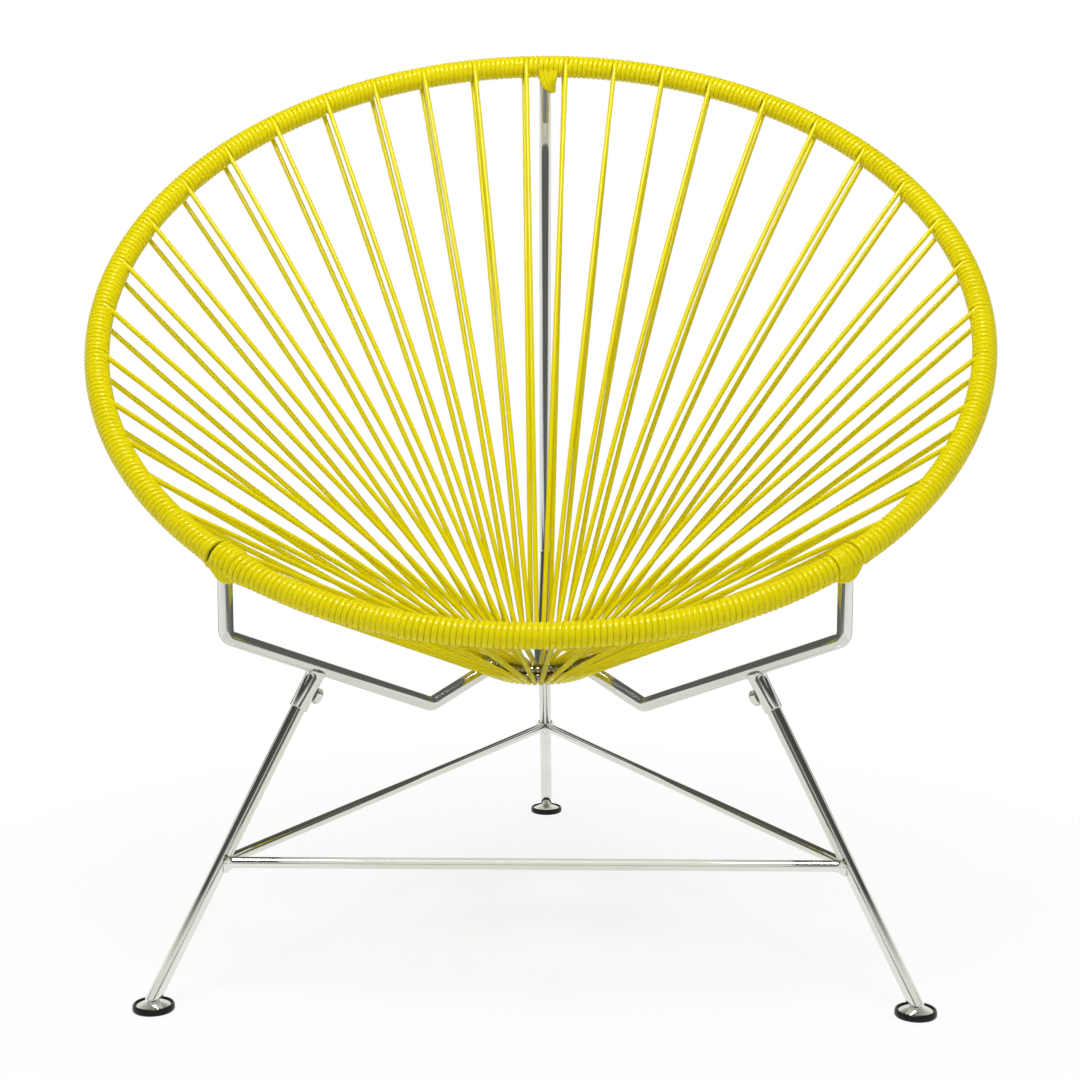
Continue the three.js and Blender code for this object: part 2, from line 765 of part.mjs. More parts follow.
function buildFrame() {
  const tube = sweep(hoopCorners, roundSection(hoopTubeDiameter, hoopSides), hoopNormal, true);
  addPiece('hoop_tube', tube, finishes.steel);
  addPiece('hub_ring_upper', hubRing(hubRodRise), finishes.chrome);
  addPiece('hub_ring_lower', hubRing(-hubRodRise), finishes.chrome);
  for (const joint of joints) {
    const name = joint.name === 'back' ? 'back_strut' : joint.name + '_arm';
    addPiece(name, arm(joint), finishes.chrome);
    addPiece(joint.name + '_leg_socket', legSocket(joint), finishes.chrome);
    addPiece(joint.name + '_socket_nut', socketNut(joint), finishes.chrome);
    addPiece(joint.name + '_set_screw', setScrew(joint), finishes.steel);
  }
}

function buildBase() {
  const [back, right, left] = joints;
  for (const joint of joints) {
    addPiece(joint.name + '_leg', leg(joint), finishes.chrome);
    const foot = footMiddle(joint);
    addPiece(joint.name + '_ball_stud', ballStud(), finishes.steel).position.set(foot.x, foot.y, 0);
    addPiece(joint.name + '_glide_disc', glideDisc(), finishes.chrome).position.set(foot.x, foot.y, 0);
    addPiece(joint.name + '_glide_pad', glidePad(), finishes.rubber).position.set(foot.x, foot.y, 0);
  }
  addPiece('front_stretcher', stretcher(left, right, false), finishes.chrome);
  addPiece('left_stretcher', stretcher(back, left, true), finishes.chrome);
  addPiece('right_stretcher', stretcher(back, right, true), finishes.chrome);
}

function buildCord() {
  for (const section of makeStations()) {
    cordPanels(section);
  }
}

buildFrame();
buildBase();
buildCord();

// The origin is on the floor, under the middle of the whole chair
const extent = new THREE.Box3().setFromObject(chair, true);
chair.position.y = -(extent.min.y + extent.max.y) / 2;

export default chair;
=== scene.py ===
"""Looks of the cord-strung lounge chair: metres, +X its right, +Y its back, +Z up."""
import logging
import math
from dataclasses import dataclass
from enum import Enum
from typing import Any, Sequence

import bpy
import numpy as np
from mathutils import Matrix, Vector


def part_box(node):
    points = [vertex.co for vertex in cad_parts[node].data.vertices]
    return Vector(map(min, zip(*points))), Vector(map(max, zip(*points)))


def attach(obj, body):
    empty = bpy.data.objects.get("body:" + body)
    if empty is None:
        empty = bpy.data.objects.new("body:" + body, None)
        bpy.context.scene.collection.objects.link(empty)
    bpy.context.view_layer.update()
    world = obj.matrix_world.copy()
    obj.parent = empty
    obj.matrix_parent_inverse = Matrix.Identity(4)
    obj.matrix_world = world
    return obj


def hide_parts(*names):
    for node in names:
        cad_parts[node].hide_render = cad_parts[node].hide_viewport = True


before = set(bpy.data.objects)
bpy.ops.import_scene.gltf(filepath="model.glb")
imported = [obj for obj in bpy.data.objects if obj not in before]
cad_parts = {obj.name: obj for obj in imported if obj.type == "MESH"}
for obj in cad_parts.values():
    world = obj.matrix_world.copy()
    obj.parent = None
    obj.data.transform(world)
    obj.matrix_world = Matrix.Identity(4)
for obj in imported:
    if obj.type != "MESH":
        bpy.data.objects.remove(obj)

MM = 0.001
SEAT_GAP = 0.3 * MM
NO_LENGTH = 1e-12
FRAME_BODY = "seat_and_base"
UP = np.array([0.0, 0.0, 1.0])
log = logging.getLogger("chair")


def unit(vector: np.ndarray) -> np.ndarray:
    """The vector at length one."""
    return vector / np.linalg.norm(vector)


def unit_rows(rows: np.ndarray) -> np.ndarray:
    """Every row at length one; a row without length stays zero."""
    return rows / (np.linalg.norm(rows, axis=1)[:, None] + NO_LENGTH)


def mix(a: Any, b: Any, share: float) -> Any:
    """The value that lies this share of the way from a to b."""
    return a + (b - a) * share


def carried_axes(path: np.ndarray, axis: np.ndarray, closed: bool) -> tuple[np.ndarray, np.ndarray]:
    """Two cross axes carried along a path without twist.

    Args:
        path: The path's points, one row each.
        axis: A rough direction for the first cross axis at the first point.
        closed: Whether the last point joins the first.

    Returns:
        The first and the second cross axis at every point.
    """
    ahead = unit_rows(np.roll(path, -1, axis=0) - path)
    behind = np.roll(ahead, 1, axis=0)
    if not closed:
        ahead[-1] = behind[-1]
        behind[0] = ahead[0]
    along = unit_rows(ahead + behind)
    first = np.zeros_like(path)
    current = axis
    for i, tangent in enumerate(along):
        current = unit(current - tangent * float(current @ tangent))
        first[i] = current
    if closed:
        start = unit(first[0] - along[-1] * float(first[0] @ along[-1]))
        slip = math.atan2(float(np.cross(first[-1], start) @ along[-1]), float(first[-1] @ start))
        second = np.cross(along, first)
        turn = slip * np.arange(len(path))[:, None] / len(path)
        first = first * np.cos(turn) + second * np.sin(turn)
    return first, np.cross(along, first)


def round_section(radius: float, sides: int) -> np.ndarray:
    """A round cross-section as rows of two offsets."""
    return pressed_section(radius, radius, 2.0, sides)


def pressed_section(height: float, width: float, power: float, sides: int) -> np.ndarray:
    """The cross-section of a cord that is pressed between its neighbours.

    Args:
        height: Half its size along the first axis.
        width: Half its size along the second axis.
        power: 2 is an oval, and more is squarer.
        sides: Points round it.

    Returns:
        The section's points, as rows of two offsets.
    """
    angles = (np.arange(sides) + 0.5) / sides * 2 * math.pi
    first, second = np.cos(angles), np.sin(angles)
    return np.stack([np.sign(first) * np.abs(first) ** (2 / power) * height,
                     np.sign(second) * np.abs(second) ** (2 / power) * width], axis=1)


def rounded(corners: Sequence[np.ndarray], radius: float, steps: int) -> np.ndarray:
    """Corner points with each inner corner turned into an arc.

    Args:
        corners: The path's corner points.
        radius: Radius of the bends.
        steps: Straight steps in each bend.

    Returns:
        The rounded path, one point a row.
    """
    path = [corners[0]]
    for before, corner, after in zip(corners, corners[1:], corners[2:]):
        incoming, outgoing = unit(corner - before), unit(after - corner)
        turn = math.acos(float(np.clip(incoming @ outgoing, -1, 1)))
        middle = corner + unit(outgoing - incoming) * radius / math.cos(turn / 2)
        spoke = corner - incoming * radius * math.tan(turn / 2) - middle
        for i in range(steps + 1):
            angle = turn * i / steps
            path.append(middle + spoke * math.cos(angle) + incoming * radius * math.sin(angle))
    path.append(corners[-1])
    return np.array(path)


def smooth_through(points: Sequence[np.ndarray], steps: int) -> np.ndarray:
    """A closed smooth curve through points.

    Args:
        points: The points that the curve passes, in order.
        steps: Straight steps between two points.

    Returns:
        The curve, one point a row.
    """
    rows = []
    count = len(points)
    for i in range(count):
        a, b, c, d = (points[(i + k) % count] for k in (-1, 0, 1, 2))
        for step in range(steps):
            t = step / steps
            rows.append(0.5 * (2 * b + (c - a) * t + (2 * a - 5 * b + 4 * c - d) * t * t
                               + (3 * b - a - 3 * c + d) * t ** 3))
    return np.array(rows)


class Wire:
    """A socket or a number in a shader, with Python's operators on it."""

    def __init__(self, shader: "Shader", source: Any) -> None:
        """Keeps the shader and the socket or number."""
        self.shader = shader
        self.source = source

    def _math(self, operation: str, first: Any, second: Any) -> "Wire":
        """A Math node on two values.

        Args:
            operation: The Math node's operation.
            first: Its first value, a wire or a number.
            second: Its second value, a wire or a number.

        Returns:
            The node's output.
        """
        node = self.shader.node("ShaderNodeMath", {"operation": operation}, {0: first, 1: second})
        return Wire(self.shader, node.outputs[0])

    def __add__(self, other: Any) -> "Wire":
        """self + other."""
        return self._math("ADD", self, other)

    __radd__ = __add__

    def __sub__(self, other: Any) -> "Wire":
        """self - other."""
        return self._math("SUBTRACT", self, other)

    def __rsub__(self, other: Any) -> "Wire":
        """other - self."""
        return self._math("SUBTRACT", other, self)

    def __mul__(self, other: Any) -> "Wire":
        """self * other."""
        return self._math("MULTIPLY", self, other)

    __rmul__ = __mul__

    def clamped(self, low: float, high: float) -> "Wire":
        """The value held between two limits."""
        return self._math("MINIMUM", self._math("MAXIMUM", self, low), high)


class Shader:
    """The nodes of one procedural material, or of the world."""

    def __init__(self, owner: bpy.types.Material | bpy.types.World) -> None:
        """Empties the owner's node tree down to a new output."""
        owner.use_nodes = True
        self.owner = owner
        self.tree = owner.node_tree
        self.tree.nodes.clear()
        kind = "World" if isinstance(owner, bpy.types.World) else "Material"
        self.output = self.node(f"ShaderNodeOutput{kind}", {}, {})

    @classmethod
    def on_material(cls, name: str) -> "Shader":
        """A shader on a new material."""
        return cls(bpy.data.materials.new(name))

    def node(self, kind: str, settings: dict[str, Any], values: dict[Any, Any]) -> bpy.types.Node:
        """One node, with its settings made first.

        Args:
            kind: The node's type.
            settings: Properties of the node, such as its operation.
            values: What each input socket gets: a wire, a node, a number or a colour.

        Returns:
            The new node.
        """
        made = self.tree.nodes.new(kind)
        for key, value in settings.items():
            setattr(made, key, value)
        for key, value in values.items():
            source = value.source if isinstance(value, Wire) else value
            if isinstance(source, bpy.types.Node):
                source = source.outputs[0]
            if isinstance(source, bpy.types.NodeSocket):
                self.tree.links.new(source, made.inputs[key])
            else:
                made.inputs[key].default_value = source
        return made

    def wire(self, kind: str, settings: dict[str, Any], values: dict[Any, Any], output: Any = 0) -> Wire:
        """A new node's output as a wire."""
        return Wire(self, self.node(kind, settings, values).outputs[output])

    def place(self) -> Wire:
        """The point being shaded, in the object's own coordinates."""
        return self.wire("ShaderNodeTexCoord", {}, {}, "Object")

    def reach(self, centre: Sequence[float] = (0, 0, 0)) -> Wire:
        """Metres from a centre in the object's own coordinates."""
        values = {0: self.place(), 1: tuple(centre)}
        return self.wire("ShaderNodeVectorMath", {"operation": "DISTANCE"}, values, "Value")

    def noise(self, scale: float, detail: float) -> Wire:
        """Soft noise over the object, about 0.5 on average.

        Args:
            scale: Spots in a metre.
            detail: How many finer layers it has.

        Returns:
            The noise.
        """
        values = {"Vector": self.place(), "Scale": scale, "Detail": detail}
        return self.wire("ShaderNodeTexNoise", {}, values)

    def blend(self, factor: Any, first: Any, second: Any) -> Wire:
        """A colour between two colours."""
        values = {"Factor": factor, 6: first, 7: second}
        return self.wire("ShaderNodeMix", {"data_type": "RGBA"}, values, 2)

    def bump(self, height: Wire, strength: float, distance: float) -> Wire:
        """A normal from a height."""
        values = {"Height": height, "Strength": strength, "Distance": distance}
        return self.wire("ShaderNodeBump", {}, values)

    def emission(self, shade: Any) -> bpy.types.Node:
        """A plain glow of a colour."""
        return self.node("ShaderNodeEmission", {}, {"Color": shade, "Strength": 1.0})

    def finish(self, node: bpy.types.Node) -> None:
        """Joins a node to the output."""
        self.tree.links.new(node.outputs[0], self.output.inputs["Surface"])

    def finish_mixed(self, factor: Any, first: Any, second: Any) -> None:
        """Joins two mixed shader nodes to the output."""
        self.finish(self.node("ShaderNodeMixShader", {}, {0: factor, 1: first, 2: second}))

    def finish_principled(self, values: dict[str, Any]) -> None:
        """Joins a Principled shader with these inputs to the output."""
        self.finish(self.node("ShaderNodeBsdfPrincipled", {}, values))


def colour(red: float, green: float, blue: float) -> tuple[float, float, float, float]:
    """A linear colour with full alpha."""
    return (red, green, blue, 1.0)


@dataclass(frozen=True)
class VinylCord:
    """Glossy extruded vinyl, one lemon yellow with faint drifts of tone."""

    name: str = "yellow_vinyl"
    slot: str = "cord"
    bright: tuple[float, float, float, float] = colour(0.85, 0.745, 0.003)
    deep: tuple[float, float, float, float] = colour(0.80, 0.685, 0.002)
    roughness: float = 0.13
    sheen: float = 0.16
    drift_scale: float = 14.0
    skin_scale: float = 420.0
    skin_strength: float = 0.03
    skin_depth: float = 0.4 * MM

    def material(self) -> bpy.types.Material:
        """Builds the material."""
        shader = Shader.on_material(self.name)
        drift = shader.noise(self.drift_scale, 2.0)
        skin = shader.noise(self.skin_scale, 3.0)
        shader.finish_principled({
            "Base Color": shader.blend((drift * 1.6 - 0.3).clamped(0, 1), self.bright, self.deep),
            "Roughness": skin * 0.10 + (self.roughness - 0.05),
            "IOR": 1.5,
            "Specular IOR Level": self.sheen,
            "Normal": shader.bump(skin, self.skin_strength, self.skin_depth),
        })
        return shader.owner


@dataclass(frozen=True)
class PolishedMetal:
    """Plated or polished steel, with faint haze and drawing lines."""

    name: str
    slot: str
    tint: tuple[float, float, float, float]
    haze: tuple[float, float, float, float]
    roughness: float
    spread: float
    line_strength: float
    line_depth: float = 0.2 * MM
    line_scale: float = 900.0
    cloud_scale: float = 22.0

    def material(self) -> bpy.types.Material:
        """Builds the material."""
        shader = Shader.on_material(self.name)
        cloud = shader.noise(self.cloud_scale, 3.0)
        fine = shader.noise(self.line_scale, 2.0)
        mean = self.spread * 0.75
        shader.finish_principled({
            "Base Color": shader.blend((cloud * 2.0 - 0.5).clamped(0, 1), self.tint, self.haze),
            "Metallic": 1.0,
            "Roughness": cloud * self.spread + fine * (self.spread * 0.5) + (self.roughness - mean),
            "Normal": shader.bump(fine, self.line_strength, self.line_depth),
        })
        return shader.owner


@dataclass(frozen=True)
class BlackRubber:
    """Moulded black rubber with a soft sheen and dusty grain."""

    name: str = "black_rubber"
    slot: str = "rubber"
    dark: tuple[float, float, float, float] = colour(0.004, 0.004, 0.004)
    dust: tuple[float, float, float, float] = colour(0.009, 0.009, 0.009)
    roughness: float = 0.30
    sheen: float = 0.2
    grain_scale: float = 650.0
    grain_strength: float = 0.15
    grain_depth: float = 0.3 * MM

    def material(self) -> bpy.types.Material:
        """Builds the material."""
        shader = Shader.on_material(self.name)
        grain = shader.noise(self.grain_scale, 4.0)
        shader.finish_principled({
            "Base Color": shader.blend((grain * 2.4 - 0.9).clamped(0, 1), self.dark, self.dust),
            "Roughness": grain * 0.2 + (self.roughness - 0.1),
            "Specular IOR Level": self.sheen,
            "Normal": shader.bump(grain, self.grain_strength, self.grain_depth),
        })
        return shader.owner


class Finish(Enum):
    """The finishes that the chair's pieces come in."""

    CORD = VinylCord()
    CHROME = PolishedMetal("chrome_plate", "chrome",
                           colour(0.80, 0.80, 0.76), colour(0.74, 0.74, 0.70), 0.10, 0.05, 0.02)
    SATIN = PolishedMetal("polished_steel", "satin_steel",
                          colour(0.76, 0.77, 0.74), colour(0.69, 0.70, 0.67), 0.17, 0.08, 0.05)
    # The hub rings' chrome is painted darker: its dark tint stands in for the shaded cords and seat round
    # them that they mirror.
    HUB = PolishedMetal("chrome_plate_darkened_for_shade", "chrome",
                        colour(0.40, 0.40, 0.38), colour(0.32, 0.32, 0.30), 0.12, 0.06, 0.03)
    STEEL = PolishedMetal("bare_steel", "steel",
                          colour(0.42, 0.42, 0.41), colour(0.33, 0.33, 0.32), 0.34, 0.12, 0.1)
    RUBBER = BlackRubber()


class Dresser:
    """Makes each finish's material once and hands it out."""

    def __init__(self) -> None:
        """Starts with no material made."""
        self.made: dict[Finish, bpy.types.Material] = {}

    def material(self, finish: Finish) -> bpy.types.Material:
        """The material of a finish."""
        if finish not in self.made:
            self.made[finish] = finish.value.material()
        return self.made[finish]


class Shape:
    """Vertices and faces of one piece, gathered in metres before its mesh is made."""

    axis_radius: float = 1e-6

    def __init__(self) -> None:
        """Starts empty."""
        self.vertices: list[np.ndarray] = []
        self.faces: list[tuple[int, ...]] = []
        self.count = 0

    def add(self, vertices: np.ndarray, faces: Sequence[Sequence[int]]) -> None:
        """Adds vertices, and faces that number them from zero."""
        self.vertices.append(vertices)
        self.faces.extend(tuple(int(i) + self.count for i in face) for face in faces)
        self.count += len(vertices)

    def rings(self, rings: np.ndarray, closed: bool) -> None:
        """Skins a row of rings with quads, and caps its open ends.

        Args:
            rings: Points as rings by sides by three.
            closed: Whether the last ring joins the first.
        """
        count, sides = rings.shape[:2]
        spans = count if closed else count - 1
        i, j = np.meshgrid(np.arange(spans), np.arange(sides), indexing="ij")
        here, ahead, side = i * sides, ((i + 1) % count) * sides, (j + 1) % sides
        quads = np.stack([here + j, here + side, ahead + side, ahead + j], axis=-1).reshape(-1, 4)
        faces = [tuple(quad) for quad in quads.tolist()]
        if not closed:
            faces.append(tuple(range(sides - 1, -1, -1)))
            faces.append(tuple(range((count - 1) * sides, count * sides)))
        self.add(rings.reshape(-1, 3), faces)

    def sweep(self, path: np.ndarray, section: np.ndarray, axis: np.ndarray, closed: bool = False,
              swell: np.ndarray | None = None) -> None:
        """Carries a section along a path.

        Args:
            path: The path's points.
            section: The section's offsets.
            axis: A rough direction for the section's first axis at the start.
            closed: Whether the path is a loop.
            swell: A factor on the section at every point.
        """
        first, second = carried_axes(path, np.asarray(axis, float), closed)
        sizes = np.ones(len(path)) if swell is None else swell
        offsets = section[None, :, :, None] * sizes[:, None, None, None]
        across = offsets[:, :, 0] * first[:, None, :] + offsets[:, :, 1] * second[:, None, :]
        self.rings(path[:, None, :] + across, closed)

    def lathe(self, profile: Sequence[tuple[float, float]], centre: np.ndarray, steps: int) -> None:
        """Spins a profile of (radius, height) points round an upright axis.

        Args:
            profile: From the lower end on the axis, outward and up to the upper end.
            centre: The point at height zero.
            steps: Sides of the lathe.
        """
        across = unit(np.cross(UP, [0.31, 0.95, 0.12]))
        other = np.cross(UP, across)
        angles = np.arange(steps) / steps * 2 * math.pi
        turned = np.cos(angles)[:, None] * across + np.sin(angles)[:, None] * other
        self.rings(np.array([centre + UP * height + turned * max(radius, self.axis_radius)
                             for radius, height in profile]), False)

    def piece(self, name: str, finish: Finish, dresser: Dresser, body: str = FRAME_BODY,
              nodes: Sequence[str] = (), sharp: float = 40.0) -> bpy.types.Object:
        """Makes the mesh object, dresses it and puts it on its body.

        Args:
            name: The piece's name.
            finish: What it is finished in.
            dresser: Where its material comes from.
            body: The body that it moves with.
            nodes: The solids that it stands for.
            sharp: Edges that turn by more degrees than this stay sharp.

        Returns:
            The object.
        """
        mesh = bpy.data.meshes.new(name)
        mesh.from_pydata(np.concatenate(self.vertices).tolist(), [], self.faces)
        mesh.validate()
        mesh.shade_smooth()
        mesh.set_sharp_from_angle(angle=math.radians(sharp))
        mesh.materials.append(dresser.material(finish))
        made = bpy.data.objects.new(name, mesh)
        bpy.context.scene.collection.objects.link(made)
        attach(made, body)
        if nodes:
            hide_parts(*nodes)
        log.info("%s: %d faces", name, len(mesh.polygons))
        return made


@dataclass
class Hoop:
    """The seat's oval hoop, met by distance along it from its top, turning to the chair's right."""

    half_width: float = 407.65 * MM
    half_length: float = 379.15 * MM
    front_flatness: float = 6.5 * MM
    front_power: int = 12
    tilt: float = 42.5
    tube_radius: float = 6.35 * MM
    table_steps: int = 4096
    tube_stride: int = 16

    def __post_init__(self) -> None:
        """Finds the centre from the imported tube, and measures the oval."""
        low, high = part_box("hoop_tube")
        slope = math.radians(self.tilt)
        self.up_slope = np.array([0, math.cos(slope), math.sin(slope)])
        self.centre = np.array((low + high) / 2) - self.up_slope * self.front_flatness / 2
        self.normal = np.array([0, -math.sin(slope), math.cos(slope)])
        self.angles = np.linspace(0, 2 * math.pi, self.table_steps + 1)
        points = np.array([self.point_at_angle(angle) for angle in self.angles])
        steps = np.linalg.norm(np.diff(points, axis=0), axis=1)
        self.distances = np.concatenate([[0], np.cumsum(steps)])
        self.length = float(self.distances[-1])

    def point_at_angle(self, angle: float) -> np.ndarray:
        """The middle line's point at an angle from the top."""
        across = np.array([self.half_width * math.sin(angle), 0, 0])
        front = self.front_flatness * max(0.0, -math.cos(angle)) ** self.front_power
        return self.centre + across + self.up_slope * (self.half_length * math.cos(angle) + front)

    def place(self, distance: float) -> tuple[np.ndarray, np.ndarray, np.ndarray]:
        """Point, direction along and direction outward at a distance.

        Args:
            distance: Metres along the hoop from the top.

        Returns:
            The middle line's point, the tangent, and the in-plane normal that points outward.
        """
        angle = float(np.interp(distance % self.length, self.distances, self.angles))
        nudge = 0.001
        along = unit(self.point_at_angle(angle + nudge) - self.point_at_angle(angle - nudge))
        outward = np.cross(self.normal, along)
        return self.point_at_angle(angle), along, outward

    def distance_at(self, azimuth: float, hub_centre: np.ndarray) -> float:
        """Where the hoop crosses an upright plane through the hub.

        Args:
            azimuth: The plane's direction, in degrees from the back towards the right.
            hub_centre: A point on the hub's upright line.

        Returns:
            The distance along the hoop.
        """
        turn = math.radians(azimuth)
        best = min(self.angles, key=lambda angle: self._miss(angle, turn, hub_centre))
        return float(np.interp(best, self.angles, self.distances))

    def _miss(self, angle: float, turn: float, hub_centre: np.ndarray) -> float:
        """How far the hoop's point at an angle turns from the plane's direction."""
        run = self.point_at_angle(angle) - hub_centre
        off = math.atan2(run[0], run[1]) - turn
        return abs(math.remainder(off, 2 * math.pi))

    def build(self, dresser: Dresser) -> None:
        """Makes the bare tube inside the winding."""
        shape = Shape()
        path = np.array([self.point_at_angle(angle) for angle in self.angles[:-1:self.tube_stride]])
        shape.sweep(path, round_section(self.tube_radius, 20), self.normal, closed=True)
        shape.piece("hoop_tube_oval", Finish.STEEL, dresser, nodes=["hoop_tube"])


@dataclass
class Hub:
    """Two stacked rings of rod under the seat, tilted down to the front."""

    hoop: Hoop
    setback: float = -24 * MM
    height: float = 258.3 * MM
    tilt: float = 8.5
    ring_diameter: float = 107 * MM
    rod_diameter: float = 6.35 * MM
    ring_steps: int = 120

    def __post_init__(self) -> None:
        """Places the hub behind the middle of the hoop."""
        self.middle = np.array([0, self.hoop.centre[1] + self.setback, self.height])
        lean = math.radians(self.tilt)
        self.up = np.array([0, -math.sin(lean), math.cos(lean)])
        self.back = np.array([0, math.cos(lean), math.sin(lean)])
        self.reach = (self.ring_diameter - self.rod_diameter) / 2
        self.rise = (self.rod_diameter + SEAT_GAP) / 2

    def outward(self, azimuth: float) -> np.ndarray:
        """The direction from the hub's middle at an azimuth, in the hub's own plane."""
        turn = math.radians(azimuth)
        return np.array([math.sin(turn), 0, 0]) + self.back * math.cos(turn)

    def point(self, azimuth: float, distance: float, rise: float) -> np.ndarray:
        """A point by azimuth, distance from the middle and rise above it."""
        return self.middle + self.outward(azimuth) * distance + self.up * rise

    def build(self, dresser: Dresser) -> None:
        """Makes both rings."""
        for name, rise in (("upper", self.rise), ("lower", -self.rise)):
            turns = [-360 * i / self.ring_steps for i in range(self.ring_steps)]
            path = np.array([self.point(turn, self.reach, rise) for turn in turns])
            shape = Shape()
            shape.sweep(path, round_section(self.rod_diameter / 2, 20), self.up, closed=True)
            shape.piece(f"{name}_hub_ring", Finish.HUB, dresser, nodes=[f"hub_ring_{name}"])


@dataclass(frozen=True)
class Station:
    """One place on the hoop where the cord leaves for the hub and comes back."""

    distance: float
    inner: float
    outer: float


@dataclass
class Stringing:
    """The cord: its turns on the hoop and its runs to the hub."""

    hoop: Hoop
    hub: Hub
    cord_radius: float = 2.4 * MM
    pitch: float = 5.08 * MM
    press_width: float = 2.6 * MM
    press_power: float = 2.8
    winding_radius: float = 8.95 * MM
    arm_azimuth: float = 126.4
    first_offset: float = 21 * MM
    right_last_offset: float = 48 * MM
    left_last_offset: float = 62 * MM
    arm_diameter: float = 12.7 * MM
    stations_per_section: int = 16
    turn_steps: int = 20
    cord_sides: int = 16
    top_ends: tuple[float, float] = (-7.8 * MM, 13.9 * MM)
    back_ends: tuple[float, float] = (-9.0 * MM, -6.0 * MM)
    front_end: float = 3.0 * MM
    right_gaps: tuple[tuple[int, float], ...] = ((3, 0.83), (3, 0.9))
    left_gaps: tuple[tuple[int, float], ...] = ((4, 0.875), (3, 0.83))
    rod_slack: float = 0.05 * MM
    rod_steps: tuple[int, int] = (10, 5)

    def __post_init__(self) -> None:
        """Finds where the arms meet the hoop, and the place, height and width of each bulge beside them."""
        self.arm_distance = self.hoop.distance_at(self.arm_azimuth, self.hub.middle)
        right, left = self.arm_distance, self.hoop.length - self.arm_distance
        self.bulges = [
            (right + self.back_ends[0], 1.5 * MM, 3.5 * MM),
            (left - self.back_ends[1], 1.5 * MM, 3.5 * MM),
            (right + 8 * MM, 0.9 * MM, 9 * MM),
            (left - 11 * MM, 2.7 * MM, 20 * MM),
        ]

    def side_distances(self, last_offset: float, close: tuple[int, float],
                       near_arm: tuple[int, float]) -> list[float]:
        """Stations between the back strut and an arm.

        Args:
            last_offset: From the last station to the arm.
            close: How many gaps are closer next to the back strut, and their share of a full gap.
            near_arm: The same next to the arm.

        Returns:
            Distances along the hoop from its top.
        """
        gaps = self.stations_per_section - 1
        shares = [0.0]
        for gap in range(gaps):
            share = close[1] if gap < close[0] else near_arm[1] if gap >= gaps - near_arm[0] else 1.0
            shares.append(shares[-1] + share)
        run = self.arm_distance - self.first_offset - last_offset
        return [self.first_offset + run * share / shares[-1] for share in shares]

    def slots(self, start: float, end: float, distances: Sequence[float]) -> list[Station]:
        """Pairs distances on the hoop with places round the hub.

        Args:
            start: The section's first azimuth.
            end: Its last azimuth.
            distances: The stations' distances along the hoop.

        Returns:
            The stations.
        """
        clear = self.arm_diameter / 2 + SEAT_GAP + self.cord_radius
        loop = self.hub.rod_diameter / 2 + self.cord_radius + SEAT_GAP
        margin = math.degrees(math.asin(clear / (self.hub.reach + loop)))
        width, count = end - start, self.stations_per_section
        return [Station(distance, start + width * (i + 0.5) / count,
                        start + margin + (width - 2 * margin) * i / (count - 1))
                for i, distance in enumerate(distances)]

    def sections(self) -> list[tuple[str, float, float, list[Station]]]:
        """The three sections between the struts: name, start, end and stations."""
        arm, whole = self.arm_distance, self.hoop.length
        right = self.side_distances(self.right_last_offset, *self.right_gaps)
        left = self.side_distances(self.left_last_offset, *self.left_gaps)
        width, count = 360 - 2 * self.arm_azimuth, self.stations_per_section
        front = [self.hoop.distance_at(self.arm_azimuth + width * (i + 0.5) / count, self.hub.middle)
                 for i in range(count)]
        return [
            ("back_right", self.top_ends[1], arm + self.back_ends[0], self.slots(0, self.arm_azimuth, right)),
            ("front", arm + self.front_end, whole - arm - self.front_end,
             self.slots(self.arm_azimuth, 360 - self.arm_azimuth, front)),
            ("back_left", whole - arm - self.back_ends[1], whole + self.top_ends[0],
             self.slots(360 - self.arm_azimuth, 360, [whole - distance for distance in reversed(left)])),
        ]

    def radial(self, distance: float, angle: float) -> np.ndarray:
        """The direction out of the tube at a distance and an angle round it."""
        _, _, outward = self.hoop.place(distance)
        return outward * math.cos(angle) + self.hoop.normal * math.sin(angle)

    def around(self, distance: float, angle: float, lift: float = 0.0) -> np.ndarray:
        """A point of the winding's middle line.

        Args:
            distance: Metres along the hoop.
            angle: Radians round the tube, from its outer side over its front.
            lift: How far it stands over the winding.

        Returns:
            The point.
        """
        bulge = sum(height * math.exp(-((distance - place) / width) ** 2)
                    for place, height, width in self.bulges)
        radius = self.winding_radius + lift + bulge
        return self.hoop.place(distance)[0] + self.radial(distance, angle) * radius

    def leaving_angle(self, station: Station) -> float:
        """The angle round the tube at which the cord from the hub touches its front."""
        point, _, outward = self.hoop.place(station.distance)
        run = self.hub.point(station.inner, self.hub.reach, 0) - point
        return math.atan2(float(run @ self.hoop.normal), float(run @ outward)) % (2 * math.pi) - math.pi / 2

    def hub_loop(self, station: Station, front: np.ndarray, rear: np.ndarray) -> list[np.ndarray]:
        """The cord's way round the hub's rods.

        Args:
            station: The cord's station.
            front: Where it touches the hoop's front.
            rear: Where it touches the hoop's rear.

        Returns:
            Points from the rear run, under and inside the rods, to the front run.
        """
        hub = self.hub
        radius = hub.rod_diameter / 2 + self.cord_radius + self.rod_slack

        def climb(end: np.ndarray, azimuth: float, rise: float) -> float:
            """The slope of a run from the hub to a point."""
            run = end - hub.point(azimuth, hub.reach, rise)
            return math.atan2(float(run @ hub.up), float(run @ hub.outward(azimuth)))

        def on_loop(azimuth: float, rise: float, angle: float) -> np.ndarray:
            """A point at an angle round a rod."""
            return hub.point(azimuth, hub.reach + radius * math.cos(angle), rise + radius * math.sin(angle))

